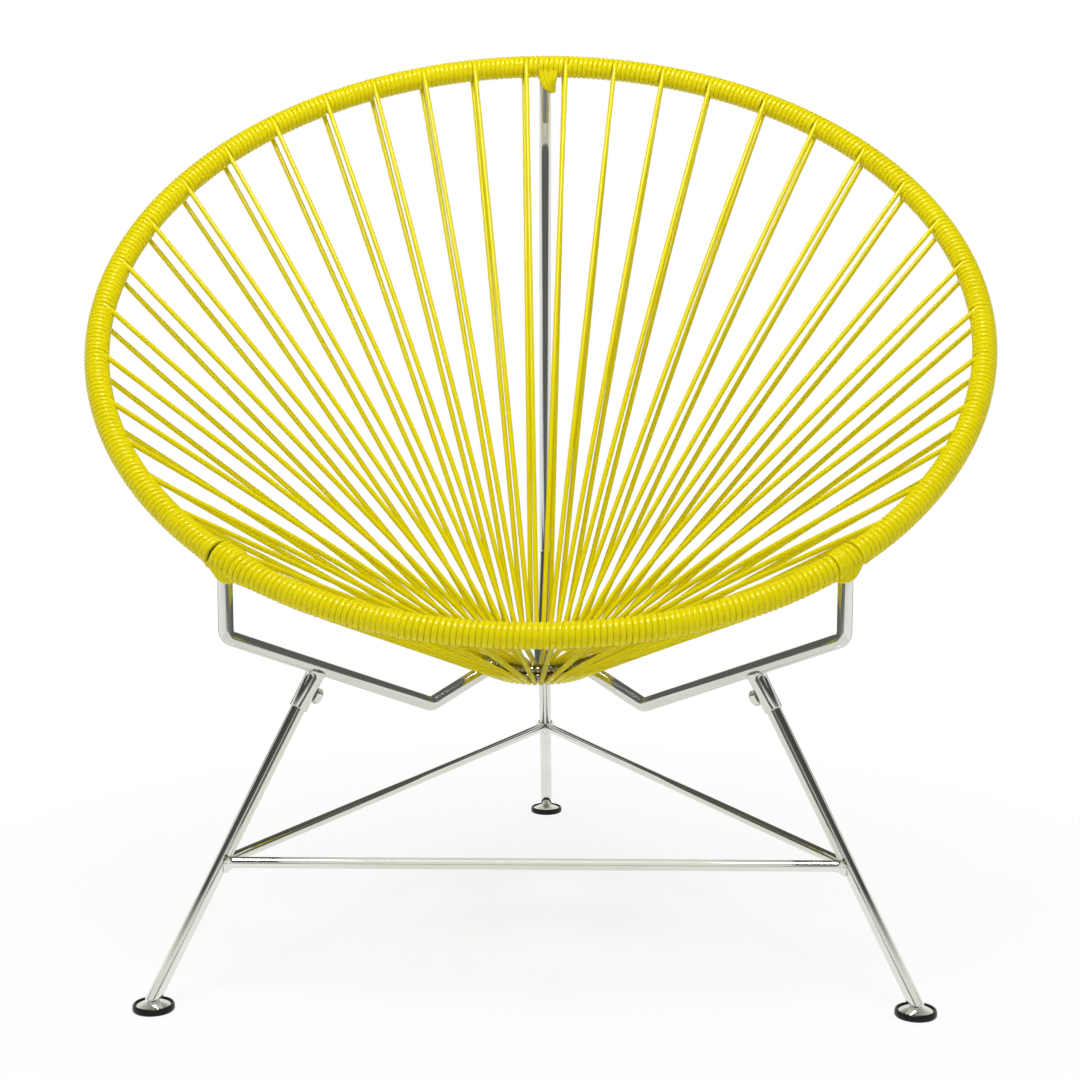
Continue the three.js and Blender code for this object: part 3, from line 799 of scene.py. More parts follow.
        top = math.pi / 2 + climb(front, station.inner, hub.rise)
        bottom = 3 * math.pi / 2 + climb(rear, station.outer, -hub.rise)
        under, inside = ([i / steps for i in range(steps + 1)] for steps in self.rod_steps)
        points = [on_loop(mix(station.outer, station.inner, share), -hub.rise, mix(bottom, math.pi, share))
                  for share in under]
        return points + [on_loop(station.inner, hub.rise, mix(math.pi, top, share)) for share in inside]

    def section_path(self, start: float, end: float, stations: Sequence[Station]) -> "CordPath":
        """One unbroken cord through a section.

        Args:
            start: Where the section starts on the hoop.
            end: Where it ends.
            stations: Its stations.

        Returns:
            The cord's way.
        """
        quarter = self.pitch / 4
        here = (start, 0.0)
        way = CordPath(self)
        for station in stations:
            front_angle = self.leaving_angle(station)
            way.wind(here, (station.distance - quarter, front_angle - math.pi))
            rear = way.points[-1]
            front = self.around(station.distance + quarter, front_angle)
            way.span(rear, self.hub_loop(station, front, rear), front)
            here = (station.distance + quarter, front_angle)
        way.wind(here, (end, 0.0))
        return way

    def build(self, dresser: Dresser) -> None:
        """Makes the cord of each section."""
        for name, start, end, stations in self.sections():
            shape = Shape()
            shape.rings(self.section_path(start, end, stations).rings(), False)
            nodes = [f"cord_{name}_{i}" for i in range(1, 5)]
            shape.piece(f"{name}_cord", Finish.CORD, dresser, nodes=nodes, sharp=180)


class CordPath:
    """A cord's middle line, with how its section lies and how far it is pressed at each point."""

    press_steps: int = 4
    lead: float = 0.01

    def __init__(self, cord: Stringing) -> None:
        """Starts an empty way for a cord."""
        self.cord = cord
        self.points: list[np.ndarray] = []
        self.normals: list[np.ndarray | None] = []
        self.pressed: list[float] = []
        self.turning: list[float] = []

    def wind(self, start: tuple[float, float], end: tuple[float, float]) -> None:
        """Adds turns round the hoop between two places.

        Args:
            start: Distance along the hoop and angle round the tube.
            end: Where it stops; its angle is met after whole turns.
        """
        cord = self.cord
        run = end[0] - start[0]
        part = ((start[1] - end[1]) / (2 * math.pi)) % 1.0
        turns = max(0, round(run / cord.pitch - part)) + part
        steps = max(2, round(turns * cord.turn_steps))
        for i in range(steps + 1):
            distance = start[0] + run * i / steps
            angle = start[1] - 2 * math.pi * turns * i / steps
            self.points.append(cord.around(distance, angle))
            self.normals.append(cord.radial(distance, angle))
            self.pressed.append(min(1.0, i / self.press_steps, (steps - i) / self.press_steps))
            self.turning.append(0.0)

    def span(self, rear: np.ndarray, loop: Sequence[np.ndarray], front: np.ndarray) -> None:
        """Adds the run to the hub, round it and back.

        Args:
            rear: Where the cord leaves the hoop.
            loop: Its way round the hub.
            front: Where it comes back to the hoop.
        """
        ends = (self.lead, 1 - self.lead)
        points = [*(mix(rear, loop[0], share) for share in ends), *loop,
                  *(mix(loop[-1], front, share) for share in ends)]
        last = len(loop) - 1
        shares = [0.0, 0.0, *(i / last for i in range(len(loop))), 1.0, 1.0]
        self.points += points
        self.normals += [None] * len(points)
        self.pressed += [0.0] * len(points)
        self.turning += shares

    def rings(self) -> np.ndarray:
        """The cord's rings: its section at every point."""
        path = np.array(self.points)
        first, along = self.axes(path)
        second = np.cross(along, first)
        cord = self.cord
        free = round_section(cord.cord_radius, cord.cord_sides)
        flat = pressed_section(cord.cord_radius, cord.press_width, cord.press_power, cord.cord_sides)
        share = np.array(self.pressed)[:, None, None]
        section = mix(free[None], flat[None], share)
        across = section[:, :, :1] * first[:, None, :] + section[:, :, 1:] * second[:, None, :]
        return path[:, None, :] + across

    def axes(self, path: np.ndarray) -> tuple[np.ndarray, np.ndarray]:
        """The section's first axis, and the direction along the path, at every point.

        On the hoop the first axis points out of the tube. On a span it is carried along, and
        what it misses by at the far end is turned away round the hub.
        """
        ahead = unit_rows(np.diff(path, axis=0))
        along = unit_rows(np.vstack([ahead[:1], ahead[:-1] + ahead[1:], ahead[-1:]]))
        first = np.zeros_like(path)
        span_start = 0
        for i, normal in enumerate(self.normals):
            source = first[i - 1] if normal is None else normal
            first[i] = unit(source - along[i] * float(source @ along[i]))
            if normal is None and self.normals[i - 1] is not None:
                span_start = i
            if normal is not None and i and self.normals[i - 1] is None:
                carried = unit(first[i - 1] - along[i] * float(first[i - 1] @ along[i]))
                slip = math.atan2(float(np.cross(carried, first[i]) @ along[i]), float(carried @ first[i]))
                for j in range(span_start, i):
                    turn = slip * self.turning[j]
                    first[j] = first[j] * math.cos(turn) + np.cross(along[j], first[j]) * math.sin(turn)
        return first, along


@dataclass
class JointWraps:
    """Turns of cord that pass slantwise round a strut where it meets the hoop."""

    stringing: Stringing
    name: str
    distance: float
    down: np.ndarray
    side: float
    starts: Sequence[float]
    depths: Sequence[float]
    lifts: Sequence[float]
    half_width: float = 2.62 * MM
    slant: float = 0.0
    strut_half: float = 6.35 * MM
    slack: float = 0.1 * MM
    sides: int = 14
    steps: int = 8

    def loop(self, start: float, depth: float, lift: float) -> np.ndarray:
        """One slanting turn.

        Args:
            start: Where it crosses the hoop, from the strut towards the side that it slants to.
            depth: How far down the strut it reaches.
            lift: How far it stands over the winding.

        Returns:
            Its middle line.
        """
        cord = self.stringing
        centre, along, outward = cord.hoop.place(self.distance)
        down = unit(self.down)
        across = unit(along - down * float(along @ down)) * self.side
        face = unit(np.cross(across, down))
        face = face if face[1] < 0 else -face
        under = math.atan2(float(down @ cord.hoop.normal), float(down @ outward))
        facing = math.atan2(float(face @ cord.hoop.normal), float(face @ outward))
        sense = 1.0 if math.sin(facing - under) > 0 else -1.0
        off = self.strut_half + cord.cord_radius + self.slack

        def on_hoop(degrees: float) -> np.ndarray:
            """A point round the hoop, by degrees from its underside over its front."""
            # The turn leaves the strut's rear at -60 degrees, and leans most at its top, 180 degrees.
            lean = self.slant * ((degrees + 60) / 240 if degrees > -60 else (-60 - degrees) / 160)
            at = self.distance + (start + lean) * self.side
            return cord.around(at, under + sense * math.radians(degrees), lift)

        def on_strut(share: float, drop: float, front: float) -> np.ndarray:
            """A point beside the strut: share of the way to its far side, share of the depth."""
            aside = across * mix(start, off, share) + face * front * (off + lift / 2)
            return centre + down * depth * drop + aside

        points = [on_hoop(180), on_hoop(140), on_hoop(100), on_hoop(62),
                  on_strut(0.35, 0.74, 0.98), on_strut(0.78, 0.95, 0.72), on_strut(1.0, 1.0, 0.05),
                  on_strut(0.75, 0.95, -0.7), on_strut(0.3, 0.74, -0.95),
                  on_hoop(-62), on_hoop(-100), on_hoop(-140)]
        return smooth_through(points, self.steps)

    def build(self, dresser: Dresser) -> None:
        """Makes all the joint's turns as one piece."""
        cord = self.stringing
        section = pressed_section(cord.cord_radius, self.half_width, cord.press_power, self.sides)
        shape = Shape()
        for start, depth, lift in zip(self.starts, self.depths, self.lifts):
            shape.sweep(self.loop(start * MM, depth * MM, lift * MM), section, -unit(self.down), closed=True)
        shape.piece(f"{self.name}_joint_wraps", Finish.CORD, dresser, sharp=180)


@dataclass
class Strut:
    """A bent round rod in an upright plane through the hub's middle."""

    hub: Hub
    name: str
    azimuth: float
    crown: np.ndarray
    front_crown_height: float
    diameter: float = 12.7 * MM
    bend_radius: float = 9.0 * MM
    bend_steps: int = 14
    low_reach: float = 118.8 * MM
    low_drop: float = 32.1 * MM
    high_reach: float = 320.7 * MM
    upright_drop: float = 67.2 * MM
    top_drop: float = 58 * MM
    top_setback: float = 5 * MM
    hub_overlap: float = 2 * MM
    crown_gap: float = 6 * MM
    weld_out: float = 1.2 * MM
    weld_radius: float = 1.5 * MM
    weld_ripple: float = 0.16
    weld_ripple_turn: float = 2.3
    weld_steps: int = 36

    def reach(self, distance: float, height: float) -> np.ndarray:
        """A point of the strut's plane."""
        turn = math.radians(self.azimuth)
        flat = np.array([math.sin(turn), math.cos(turn), 0]) * distance
        return flat + np.array([0, self.hub.middle[1], height])

    def sideways(self) -> np.ndarray:
        """The level direction square to the strut's plane."""
        turn = math.radians(self.azimuth)
        return np.array([math.cos(turn), -math.sin(turn), 0])

    def low(self) -> np.ndarray:
        """The corner of the bend beside the hub."""
        return self.reach(self.low_reach, self.hub.height - self.low_drop)

    def high(self) -> np.ndarray:
        """The corner of the bend under the hoop."""
        return self.reach(self.high_reach, self.front_crown_height - self.upright_drop)

    def hub_edge(self) -> np.ndarray:
        """Where the strut's middle line meets the outside of the hub."""
        return self.hub.point(self.azimuth, self.hub.ring_diameter / 2, 0)

    def corners(self) -> list[np.ndarray]:
        """The strut's corner points from the hub to the hoop."""
        edge, low, high = self.hub_edge(), self.low(), self.high()
        start = edge + unit(edge - low) * self.hub_overlap
        if self.name != "back":
            return [start, low, high, np.array([high[0], high[1], self.crown[2] - self.crown_gap])]
        bend = self.crown + np.array([0, self.top_setback, -self.top_drop])
        return [start, low, high, bend, self.crown + unit(bend - self.crown) * self.crown_gap]

    def build(self, dresser: Dresser) -> None:
        """Makes the rod."""
        shape = Shape()
        path = rounded(self.corners(), self.bend_radius, self.bend_steps)
        shape.sweep(path, round_section(self.diameter / 2, 40), self.sideways())
        node = "back_strut" if self.name == "back" else f"{self.name}_arm"
        shape.piece(f"{self.name}_bent_rod", Finish.SATIN, dresser, nodes=[node], sharp=60)

    def build_weld(self, dresser: Dresser) -> None:
        """Makes the bead round the rod's end at the hub."""
        shape = Shape()
        out = unit(self.low() - self.hub_edge())
        rise = np.cross(out, self.sideways())
        edge = self.hub_edge() + out * self.weld_out
        ring = round_section(self.diameter / 2, self.weld_steps)
        path = np.array([edge + self.sideways() * u + rise * v for u, v in ring])
        swell = 1 + self.weld_ripple * np.sin(np.arange(len(path)) * self.weld_ripple_turn)
        shape.sweep(path, round_section(self.weld_radius, 10), out, closed=True, swell=swell)
        shape.piece(f"{self.name}_hub_weld", Finish.SATIN, dresser, sharp=180)


@dataclass
class Leg:
    """A splayed rod leg with its sleeve, nut, set screw and swivel glide."""

    strut: Strut
    diameter: float = 12.5 * MM
    foot_reach: float = 393 * MM
    foot_height: float = 12 * MM
    top_reach: float = 254 * MM
    end_height: float = 9.8 * MM
    socket_drop: float = 42 * MM
    socket_diameter: float = 15.8 * MM
    socket_wall: float = 1.3 * MM
    socket_saddle: float = 2.5 * MM
    nut_width: float = 13 * MM
    nut_thickness: float = 5.5 * MM
    nut_drop: float = 16.5 * MM
    screw_diameter: float = 6 * MM
    hex_width: float = 3 * MM
    rod_start: float = 30 * MM
    rod_top_drop: float = 14 * MM
    weld_reach: float = 5.85 * MM
    weld_inner_reach: float = 4 * MM
    ball_height: float = 5.2
    sides: int = 40

    def __post_init__(self) -> None:
        """Finds the slope of the arm above, and the height of the sleeve's mouth."""
        low, high = self.strut.low(), self.strut.high()
        self.name = self.strut.name
        self.arm_along = unit(high - low)
        self.slope = float(high[2] - low[2]) / (self.strut.high_reach - self.strut.low_reach)
        self.mouth_height = self.arm_height(self.top_reach) - self.socket_drop
        self.lean = (self.top_reach - self.foot_reach) / (self.mouth_height - self.foot_height)

    def arm_height(self, reach: float) -> float:
        """The height of the arm's middle line at a distance from the hub."""
        return float(self.strut.low()[2]) + self.slope * (reach - self.strut.low_reach)

    def point(self, height: float) -> np.ndarray:
        """The leg's middle line at a height."""
        return self.strut.reach(self.foot_reach + self.lean * (height - self.foot_height), height)

    def axis(self) -> np.ndarray:
        """The direction up the leg."""
        return unit(self.point(self.mouth_height) - self.point(self.foot_height))

    def inward(self) -> np.ndarray:
        """The direction square to the leg, towards the hub and down."""
        return unit(np.cross(self.strut.sideways(), self.axis()))

    def meeting_height(self) -> float:
        """The height at which the leg's middle line meets the arm's."""
        base = self.arm_height(self.foot_reach) - self.slope * self.lean * self.foot_height
        return base / (1 - self.slope * self.lean)

    def rails(self, radius: float) -> list[np.ndarray]:
        """Points round the leg at its foot, from which rings slide up along it."""
        side = self.strut.sideways()
        other = np.cross(self.axis(), side)
        base = self.point(self.end_height)
        return [base + side * u + other * v for u, v in round_section(radius, self.sides)]

    def ring_under_arm(self, radius: float, drop: float, reach: float) -> np.ndarray:
        """The leg's round section slid along it up to the arm.

        Args:
            radius: The section's radius.
            drop: How far under the arm it stops, along the leg.
            reach: How near the arm's middle line it comes.

        Returns:
            The ring's points.
        """
        axis, along, arm = self.axis(), self.arm_along, self.strut.low()
        above = np.cross(along, self.strut.sideways())
        above = above if above[2] > 0 else -above
        cap = arm - above * (self.strut.diameter / 2 - self.socket_saddle)
        slant = axis - along * float(axis @ along)
        rows = []
        for start in self.rails(radius):
            top = float((cap - start) @ above) / float(axis @ above)
            away = start - arm
            away = away - along * float(away @ along)
            square, cross = float(slant @ slant), float(away @ slant)
            inside = cross * cross - square * (float(away @ away) - reach * reach)
            if inside > 0:
                top = min(top, (-cross - math.sqrt(inside)) / square)
            rows.append(start + axis * (top - drop))
        return np.array(rows)

    def ring_at_plane(self, radius: float, point: np.ndarray, normal: np.ndarray) -> np.ndarray:
        """The leg's round section slid along it onto a plane.

        Args:
            radius: The section's radius.
            point: A point of the plane.
            normal: The plane's normal.

        Returns:
            The ring's points.
        """
        axis = self.axis()
        return np.array([start + axis * float((point - start) @ normal) / float(axis @ normal)
                         for start in self.rails(radius)])

    def build_rod(self, dresser: Dresser) -> None:
        """Makes the rod, cut level at the foot with its edge broken."""
        radius, axis = self.diameter / 2, self.axis()
        floor = self.point(self.end_height)
        top = self.point(self.meeting_height() - self.rod_top_drop)
        foot = ((0.02, 0.0), (0.90, 0.0), (0.975, 0.15), (1.0, 0.6), (1.0, 1.0))
        rings = [self.ring_at_plane(radius * share, floor + UP * rise * MM, UP) for share, rise in foot]
        rings += [self.ring_at_plane(radius, self.point(height), axis)
                  for height in np.linspace(self.rod_start, top[2] - 1 * MM, 12)]
        rings += [self.ring_at_plane(radius * share, top, axis) for share in (0.96, 0.02)]
        shape = Shape()
        shape.rings(np.array(rings), False)
        shape.piece(f"{self.name}_leg_rod", Finish.CHROME, dresser, nodes=[f"{self.name}_leg"], sharp=50)

    def build_socket(self, dresser: Dresser) -> None:
        """Makes the sleeve, flared into its weld under the arm."""
        outer = self.socket_diameter / 2
        inner = outer - self.socket_wall
        base, axis = self.point(self.mouth_height), self.axis()
        mouth = ((inner, 14), (inner, 0.3), (inner + 0.3 * MM, 0), (outer - 0.4 * MM, 0),
                 (outer - 0.1 * MM, 0.15), (outer, 0.5))
        weld = ((6.0, 0.0), (3.0, 0.0), (2.0, 0.35), (1.1, 0.8), (0.3, 0.95), (-0.3, 0.5), (-0.6, -0.6))
        rings = [self.ring_at_plane(radius, base + axis * rise * MM, axis) for radius, rise in mouth]
        rings += [self.ring_under_arm(outer + flare * MM, drop * MM, self.weld_reach) for drop, flare in weld]
        rings.append(self.ring_under_arm(inner, 0.0, self.weld_inner_reach))
        shape = Shape()
        shape.rings(np.array(rings), False)
        nodes = [f"{self.name}_leg_socket"]
        shape.piece(f"{self.name}_sleeve", Finish.CHROME, dresser, nodes=nodes, sharp=50)

    def build_screw(self, dresser: Dresser) -> None:
        """Makes the nut on the sleeve and the set screw in it."""
        middle = self.point(self.mouth_height) + self.axis() * self.nut_drop
        inward, axis = self.inward(), self.axis()
        angles = (np.arange(24) + 0.5) / 24 * 2 * math.pi
        turned = np.cos(angles)[:, None] * axis + np.sin(angles)[:, None] * np.cross(inward, axis)
        flats = np.cos(angles % (math.pi / 3) - math.pi / 6)[:, None]

        def circle(radius: float, out: float) -> np.ndarray:
            """A circle round the screw."""
            return middle + inward * out + turned * radius

        def hexagon(width: float, out: float) -> np.ndarray:
            """A hexagon's corners, with extra points along its sides."""
            return middle + inward * out + turned * (width / 2 / flats)

        seat = self.socket_diameter / 2 - 0.5 * MM
        outer = seat + self.nut_thickness + 0.5 * MM
        bore = self.screw_diameter / 2 + 0.25 * MM
        nut = Shape()
        nut.rings(np.array([
            hexagon(self.nut_width, seat), hexagon(self.nut_width, outer - 0.7 * MM),
            circle(self.nut_width * 0.49, outer - 0.05 * MM), circle(self.nut_width * 0.46, outer),
            circle(bore + 0.3 * MM, outer), circle(bore, outer - 0.4 * MM), circle(bore, seat)]), False)
        nodes = [f"{self.name}_socket_nut"]
        nut.piece(f"{self.name}_hex_nut", Finish.CHROME, dresser, nodes=nodes, sharp=35)
        rod, radius, head = self.diameter / 2, self.screw_diameter / 2, outer + 0.6 * MM
        screw = Shape()
        screw.rings(np.array([
            circle(radius * 0.05, rod + SEAT_GAP), circle(radius * 0.7, rod + SEAT_GAP),
            circle(radius, rod + 1 * MM), circle(radius, head - 0.4 * MM),
            circle(radius - 0.35 * MM, head), hexagon(self.hex_width, head),
            hexagon(self.hex_width, head - 2 * MM), circle(radius * 0.05, head - 2.2 * MM)]), False)
        nodes = [f"{self.name}_set_screw"]
        screw.piece(f"{self.name}_grub_screw", Finish.STEEL, dresser, nodes=nodes, sharp=35)

    def build_glide(self, dresser: Dresser) -> None:
        """Makes the ball stud, the swivel disc and the rubber pad."""
        foot = self.point(self.end_height)
        ground = np.array([foot[0], foot[1], 0.0])

        def arc(radius: float, first: int, last: int, step: int) -> list[tuple[float, float]]:
            """Points of the profile round the ball's middle, in millimetres, from angle to angle."""
            turns = [math.radians(angle) for angle in range(first, last, step)]
            return [(radius * math.cos(turn), self.ball_height + radius * math.sin(turn)) for turn in turns]

        stud = [*arc(2.6, -90, 51, 10), (1.6, 7.3), (1.6, 8.2), (2.35, 8.2), (2.5, 8.4),
                (2.5, 14.9), (0, 15.0)]
        disc = [(0, 1.7), (14.4, 1.7), (14.8, 2.1), (14.8, 4.4), (14.6, 4.75), (14.0, 5.0), (10, 6.4),
                (6, 7.6), (4.6, 8.3), (4.0, 8.7), (3.2, 8.75), (2.6, 8.6), (2.25, 7.9),
                *arc(2.9, 39, -91, -10)]
        pad = [(0, 0), (16.2, 0), (17.0, 0.3), (17.5, 1.1), (17.6, 2.4), (17.5, 4.0), (17.1, 5.2),
               (16.5, 5.9), (15.9, 6.05), (15.3, 5.8), (15.05, 5.2), (15.0, 1.4), (0, 1.4)]
        made = (("stud", stud, Finish.STEEL, f"{self.name}_stud", "ball_stud"),
                ("plate", disc, Finish.CHROME, f"{self.name}_glide", "glide_disc"),
                ("lip", pad, Finish.RUBBER, f"{self.name}_glide", "glide_pad"))
        for label, profile, finish, body, node in made:
            shape = Shape()
            shape.lathe([(radius * MM, height * MM) for radius, height in profile], ground, 64)
            shape.piece(f"{self.name}_foot_{label}", finish, dresser, body, [f"{self.name}_{node}"])

    def build(self, dresser: Dresser) -> None:
        """Makes everything at this leg."""
        self.build_rod(dresser)
        self.build_socket(dresser)
        self.build_screw(dresser)
        self.build_glide(dresser)


@dataclass
class Stretcher:
    """A thin rod between two legs, its ends flared into polished welds."""

    name: str
    start: Leg
    end: Leg
    height: float = 115.7 * MM
    diameter: float = 9.5 * MM

    def build(self, dresser: Dresser) -> None:
        """Makes the rod."""
        first, last = self.start.point(self.height), self.end.point(self.height)
        run = float(np.linalg.norm(last - first))
        leg_radius = self.start.diameter / 2
        marks = [(leg_radius * 0.6, 1.9), (leg_radius * 0.95, 1.75), (leg_radius + 0.9 * MM, 1.45),
                 (leg_radius + 2.2 * MM, 1.22), (leg_radius + 4 * MM, 1.07), (leg_radius + 7 * MM, 1.0)]
        places = [place for place, _ in marks] + [run * share for share in (0.25, 0.5, 0.75)]
        places += [run - place for place, _ in reversed(marks)]
        swell = [size for _, size in marks] + [1.0] * 3 + [size for _, size in reversed(marks)]
        path = np.array([mix(first, last, place / run) for place in places])
        shape = Shape()
        shape.sweep(path, round_section(self.diameter / 2, 32), UP, swell=np.array(swell))
        nodes = [f"{self.name}_stretcher"]
        shape.piece(f"{self.name}_cross_rod", Finish.CHROME, dresser, nodes=nodes, sharp=60)


@dataclass
class Studio:
    """Camera, floor, glowing cards that paint reflections, lamps and world."""

    camera_place: tuple[float, float, float] = (0.038, -1.8634, 0.5983)
    camera_tilt: float = 82.62
    camera_turn: float = 1.19
    lens: float = 64.77
    floor_size: float = 30.0
    ceiling_size: float = 12.0
    ceiling_height: float = 2.4
    lamp_place: tuple[float, float, float] = (-0.1, -0.75, 2.0)
    lamp_aim: tuple[float, float, float] = (0, 0, 0.4)
    key_size: float = 0.55
    key_power: float = 15.0
    glint_size: float = 0.9
    glint_power: float = 34.0
    glint_rise: float = 0.01
    world_level: float = 0.58
    floor_white_near: float = 0.72
    floor_white_slope: float = 0.4
    card_white_from: float = 9.0
    card_white_slope: float = 0.35
    gap_clear: float = 0.015
    gap_soft: float = 0.17
    basket_steps: int = 72
    basket_start: tuple[float, float] = (85 * MM, 4 * MM)
    basket_drop: float = 26 * MM
    basket_share: float = 0.9
    # The pale cards' glow, a painted pale reflection.
    pale: tuple[float, float, float] = (0.86, 0.86, 0.80)

    def camera(self) -> None:
        """Sets the camera at the photograph's place."""
        data = bpy.data.cameras.new("camera")
        data.sensor_width = 36.0
        data.lens = self.lens
        made = bpy.data.objects.new("camera", data)
        made.location = self.camera_place
        made.rotation_euler = (math.radians(self.camera_tilt), 0, math.radians(self.camera_turn))
        bpy.context.scene.collection.objects.link(made)
        bpy.context.scene.camera = made

    def hang(self, name: str, faces: Sequence[Sequence[Any]], shader: Shader) -> bpy.types.Object:
        """Adds a stage object of flat faces.

        Args:
            name: Its name.
            faces: The corners of each of its faces.
            shader: What it is dressed in.

        Returns:
            The object.
        """
        shape = Shape()
        for face in faces:
            shape.add(np.array(face, float), [range(len(face))])
        mesh = bpy.data.meshes.new(name)
        mesh.from_pydata(np.concatenate(shape.vertices).tolist(), [], shape.faces)
        mesh.materials.append(shader.owner)
        made = bpy.data.objects.new(name, mesh)
        bpy.context.scene.collection.objects.link(made)
        return made

    def floor(self) -> None:
        """Lays a pale floor that keeps the chair's shadow and fades to the background."""
        half = self.floor_size
        shader = Shader.on_material("pale_floor")
        tone = shader.blend(shader.noise(40.0, 2.0), colour(0.94, 0.94, 0.94), colour(0.96, 0.96, 0.96))
        diffuse = shader.node("ShaderNodeBsdfDiffuse", {}, {"Color": tone})
        path = shader.node("ShaderNodeLightPath", {}, {})
        seen = Wire(shader, path.outputs["Is Camera Ray"]) + Wire(shader, path.outputs["Is Glossy Ray"])
        white = (shader.reach() * self.floor_white_slope + self.floor_white_near).clamped(0, 1)
        shader.finish_mixed(seen.clamped(0, 1) * white, diffuse, shader.emission(colour(1, 1, 1)))
        self.hang("floor", [[(-half, -half, 0), (half, -half, 0), (half, half, 0), (-half, half, 0)]], shader)

    def card(self, name: str, faces: Sequence[Sequence[Any]], tone: Sequence[float],
             white_from: float = card_white_from, gaps: Sequence[Sequence[float]] = ()) -> None:
        """Hangs a glowing card that only glossy pieces mirror, a painted reflection in the metal and cord.

        Args:
            name: Its name.
            faces: The corners of each of its faces.
            tone: Its colour, the dark or pale reflection that it paints.
            white_from: Metres from the middle at which it starts to fade to white.
            gaps: Places round which it thins out to nothing, so that what goes through it shows no step.
        """
        shader = Shader.on_material(name)
        white = ((shader.reach() - white_from) * self.card_white_slope).clamped(0, 1)
        shade = shader.blend(white, colour(*tone), colour(1, 1, 1))
        cover = Wire(shader, 1.0)
        for gap in gaps:
            cover = cover * ((shader.reach(gap) - self.gap_clear) * (1 / self.gap_soft)).clamped(0, 1)
        clear = shader.node("ShaderNodeBsdfTransparent", {}, {})
        # The card glows with its tone though it is no lamp, painting a reflection.
        shader.finish_mixed(cover, clear, shader.emission(shade))
        made = self.hang(name, faces, shader)
        made.visible_camera = made.visible_diffuse = made.visible_shadow = made.visible_transmission = False

    def cards(self, hoop: Hoop, hub: Hub) -> None:
        """Hangs the cards that paint reflections: dark ones overhead, in front, along the middle, under the
        basket and behind, and pale ones low down.

        Args:
            hoop: The hoop that the basket card follows.
            hub: The hub that it starts from.
        """
        half, high = self.ceiling_size, self.ceiling_height
        # Painted dark reflections: a dark overhead card and a dark front card that the metal and cord mirror.
        overhead = [(-half, -half, high), (-half, half, high), (half, half, high), (half, -half, high)]
        self.card("overhead_dark_reflection_card", [overhead], (0.07, 0.073, 0.066), 5.4)
        front = [(-5.5, -3.2, 0), (5.5, -3.2, 0), (5.5, -3.2, 0.8), (-5.5, -3.2, 0.8)]
        self.card("front_dark_reflection_card", [front], (0.15, 0.15, 0.14))
        # Painted shade: dark cards along the middle and under the basket, so the arms and the cords'
        # undersides mirror shade instead of the white floor.
        middle = [(0, -1.7, 0.08), (0, -0.45, 0.24), (0, -0.12, 0.26), (0, -0.12, 0.55), (0, -1.7, 0.55)]
        self.card("middle_painted_shade_card", [middle], (0.14, 0.15, 0.13))
        count = self.basket_steps
        rims = [hoop.place(hoop.length * i / count)[0] for i in range(count + 1)]
        turns = [math.degrees(math.atan2(rim[0], rim[1] - hub.middle[1])) for rim in rims]
        roots = [hub.point(turn, *self.basket_start) for turn in turns]
        lips = [mix(root, rim - UP * self.basket_drop, self.basket_share) for root, rim in zip(roots, rims)]
        strips = [[roots[i], roots[i + 1], lips[i + 1], lips[i]] for i in range(count)]
        self.card("basket_painted_shade_card", strips, (0.12, 0.125, 0.11))
        # Painted pale reflections: pale glowing cards low down that the glide discs, legs and stretchers
        # mirror.
        low = [(-0.5, -0.9, 0.1), (0.5, -0.9, 0.1), (0.5, 0.6, 0.1), (-0.5, 0.6, 0.1)]
        strip = [(-0.22, -0.6, 0.15), (0.22, -0.6, 0.15), (0.22, -0.2, 0.15), (-0.22, -0.2, 0.15)]
        legs_through = [(0.0, 0.268, 0.1), (0.275, -0.277, 0.1), (-0.275, -0.277, 0.1)]
        self.card("low_pale_reflection_card", [low], self.pale, gaps=legs_through)
        legs_beside = [(0.33, -0.26, 0.15), (-0.33, -0.26, 0.15)]
        self.card("strip_pale_reflection_card", [strip], self.pale, gaps=legs_beside)
        # Painted dark reflection: a dark card under the seat's middle that the metal mirrors.
        behind = [(-0.6, 0.05, 0.14), (0.6, 0.05, 0.14), (0.6, 0.05, 0.3), (-0.6, 0.05, 0.3)]
        self.card("behind_dark_reflection_card", [behind], (0.10, 0.10, 0.08))

    def lamp(self, name: str, rise: float, size: float, power: float) -> bpy.types.Object:
        """Hangs one square lamp that faces the seat.

        Args:
            name: Its name.
            rise: How far above the lamps' place it hangs.
            size: Width of its face.
            power: Watts.

        Returns:
            The lamp.
        """
        data = bpy.data.lights.new(name, "AREA")
        data.shape = "SQUARE"
        data.size = size
        data.energy = power
        made = bpy.data.objects.new(name, data)
        place = np.array(self.lamp_place) + UP * rise
        made.location = place
        heading = np.array(self.lamp_aim) - place
        flat = math.hypot(heading[0], heading[1])
        turn = math.atan2(heading[1], heading[0]) - math.pi / 2
        made.rotation_euler = (math.atan2(flat, -heading[2]), 0, turn)
        bpy.context.scene.collection.objects.link(made)
        return made

    def world(self) -> None:
        """Gives a white background and a plain level of light from all round."""
        world = bpy.data.worlds.new("studio")
        bpy.context.scene.world = world
        shader = Shader(world)
        path = shader.node("ShaderNodeLightPath", {}, {})
        camera, *others = (Wire(shader, path.outputs[f"Is {kind} Ray"])
                           for kind in ("Camera", "Glossy", "Transmission"))
        seen = (camera + others[0] + others[1]).clamped(0, 1)
        light, white = (shader.node("ShaderNodeBackground", {}, {"Color": colour(1, 1, 1), "Strength": level})
                        for level in (self.world_level, 1.0))
        shader.finish_mixed(seen, light, white)

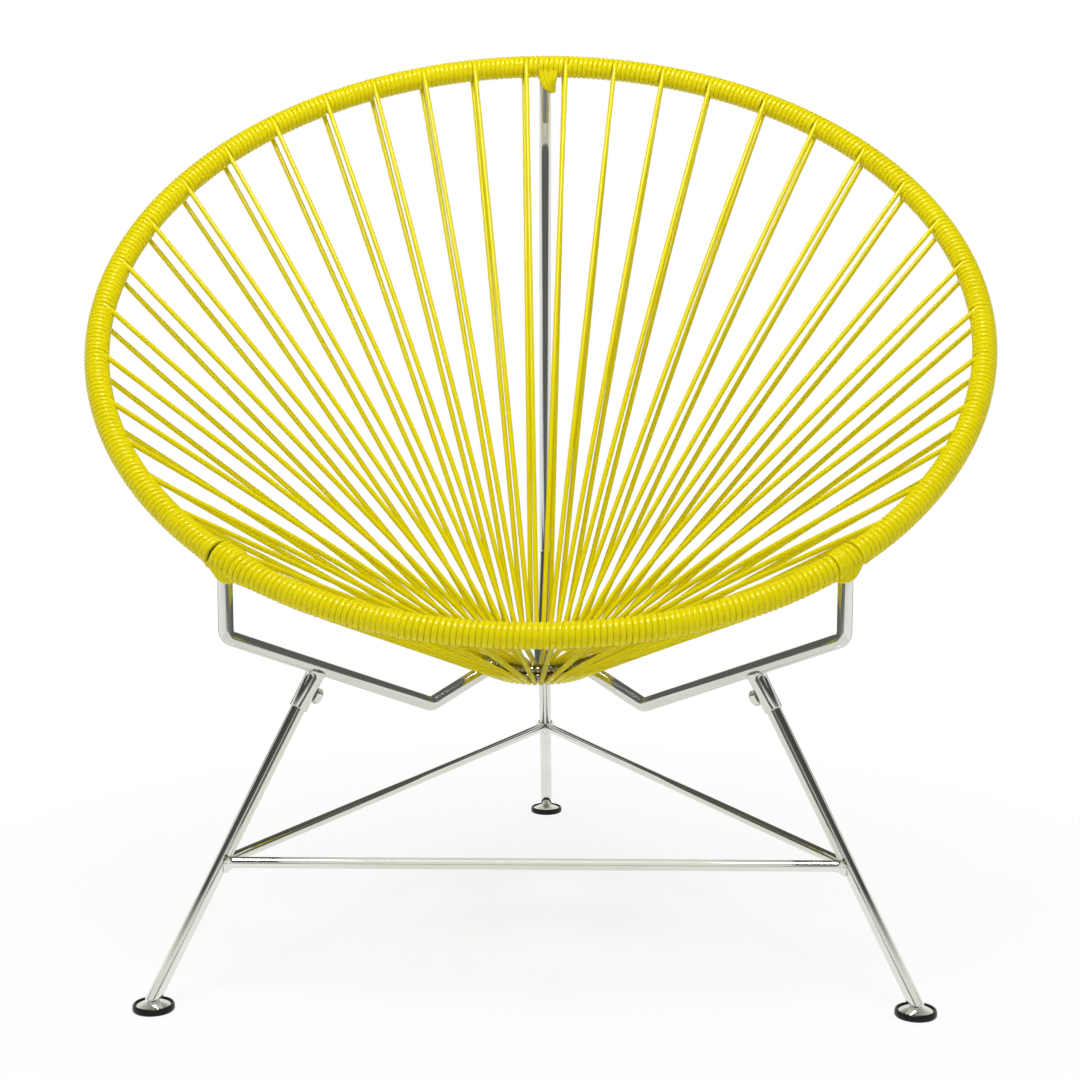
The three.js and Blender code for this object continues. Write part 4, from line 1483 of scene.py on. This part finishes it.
    def build(self, hoop: Hoop, hub: Hub) -> None:
        """Sets up the whole studio round the chair's hoop and hub."""
        self.camera()
        self.floor()
        self.cards(hoop, hub)
        self.world()
        self.lamp("key", 0.0, self.key_size, self.key_power)
        glint = self.lamp("glint", self.glint_rise, self.glint_size, self.glint_power)
        glint.visible_diffuse = False
        bpy.context.scene.view_settings.view_transform = "Standard"


def main() -> None:
    """Builds the chair and its studio."""
    logging.basicConfig(level=logging.INFO, format="%(message)s")
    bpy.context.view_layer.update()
    dresser = Dresser()
    hoop = Hoop()
    hub = Hub(hoop)
    Studio().build(hoop, hub)
    stringing = Stringing(hoop, hub)
    hoop.build(dresser)
    hub.build(dresser)
    stringing.build(dresser)
    arm = stringing.arm_distance
    azimuths = {"back": 0.0, "right": stringing.arm_azimuth, "left": -stringing.arm_azimuth}
    places = {"back": 0.0, "right": arm, "left": hoop.length - arm}
    front_crown_height = float(hoop.place(arm)[0][2])
    legs = {}
    for name, azimuth in azimuths.items():
        strut = Strut(hub, name, azimuth, hoop.place(places[name])[0], front_crown_height)
        strut.build(dresser)
        strut.build_weld(dresser)
        legs[name] = Leg(strut)
        legs[name].build(dresser)
    wraps = (
        JointWraps(stringing, "back", 0.0, np.array([0, 0.086, -1.0]), 1.0,
                   (-6.4, -1.0, 4.5, 9.9), (24.5, 21.5, 18.5, 16.0), (0.0, 0.0, 0.0, 0.0),
                   half_width=2.75 * MM, slant=3.4 * MM),
        JointWraps(stringing, "right", arm, -UP, 1.0,
                   (-4.0, 1.0, 6.0, 11.0), (16.8, 15.2, 13.5, 12.0), (0.9, 0.8, 0.6, 0.4)),
        JointWraps(stringing, "left", hoop.length - arm, -UP, -1.0,
                   (-1.0, 4.0, 9.0, 14.0), (19.0, 18.0, 16.5, 15.5), (1.1, 0.9, 0.6, 0.3)),
    )
    for joint in wraps:
        joint.build(dresser)
    for name, start, end in (("front", "left", "right"), ("left", "back", "left"),
                             ("right", "back", "right")):
        Stretcher(name, legs[start], legs[end]).build(dresser)


if __name__ == "__main__":
    main()
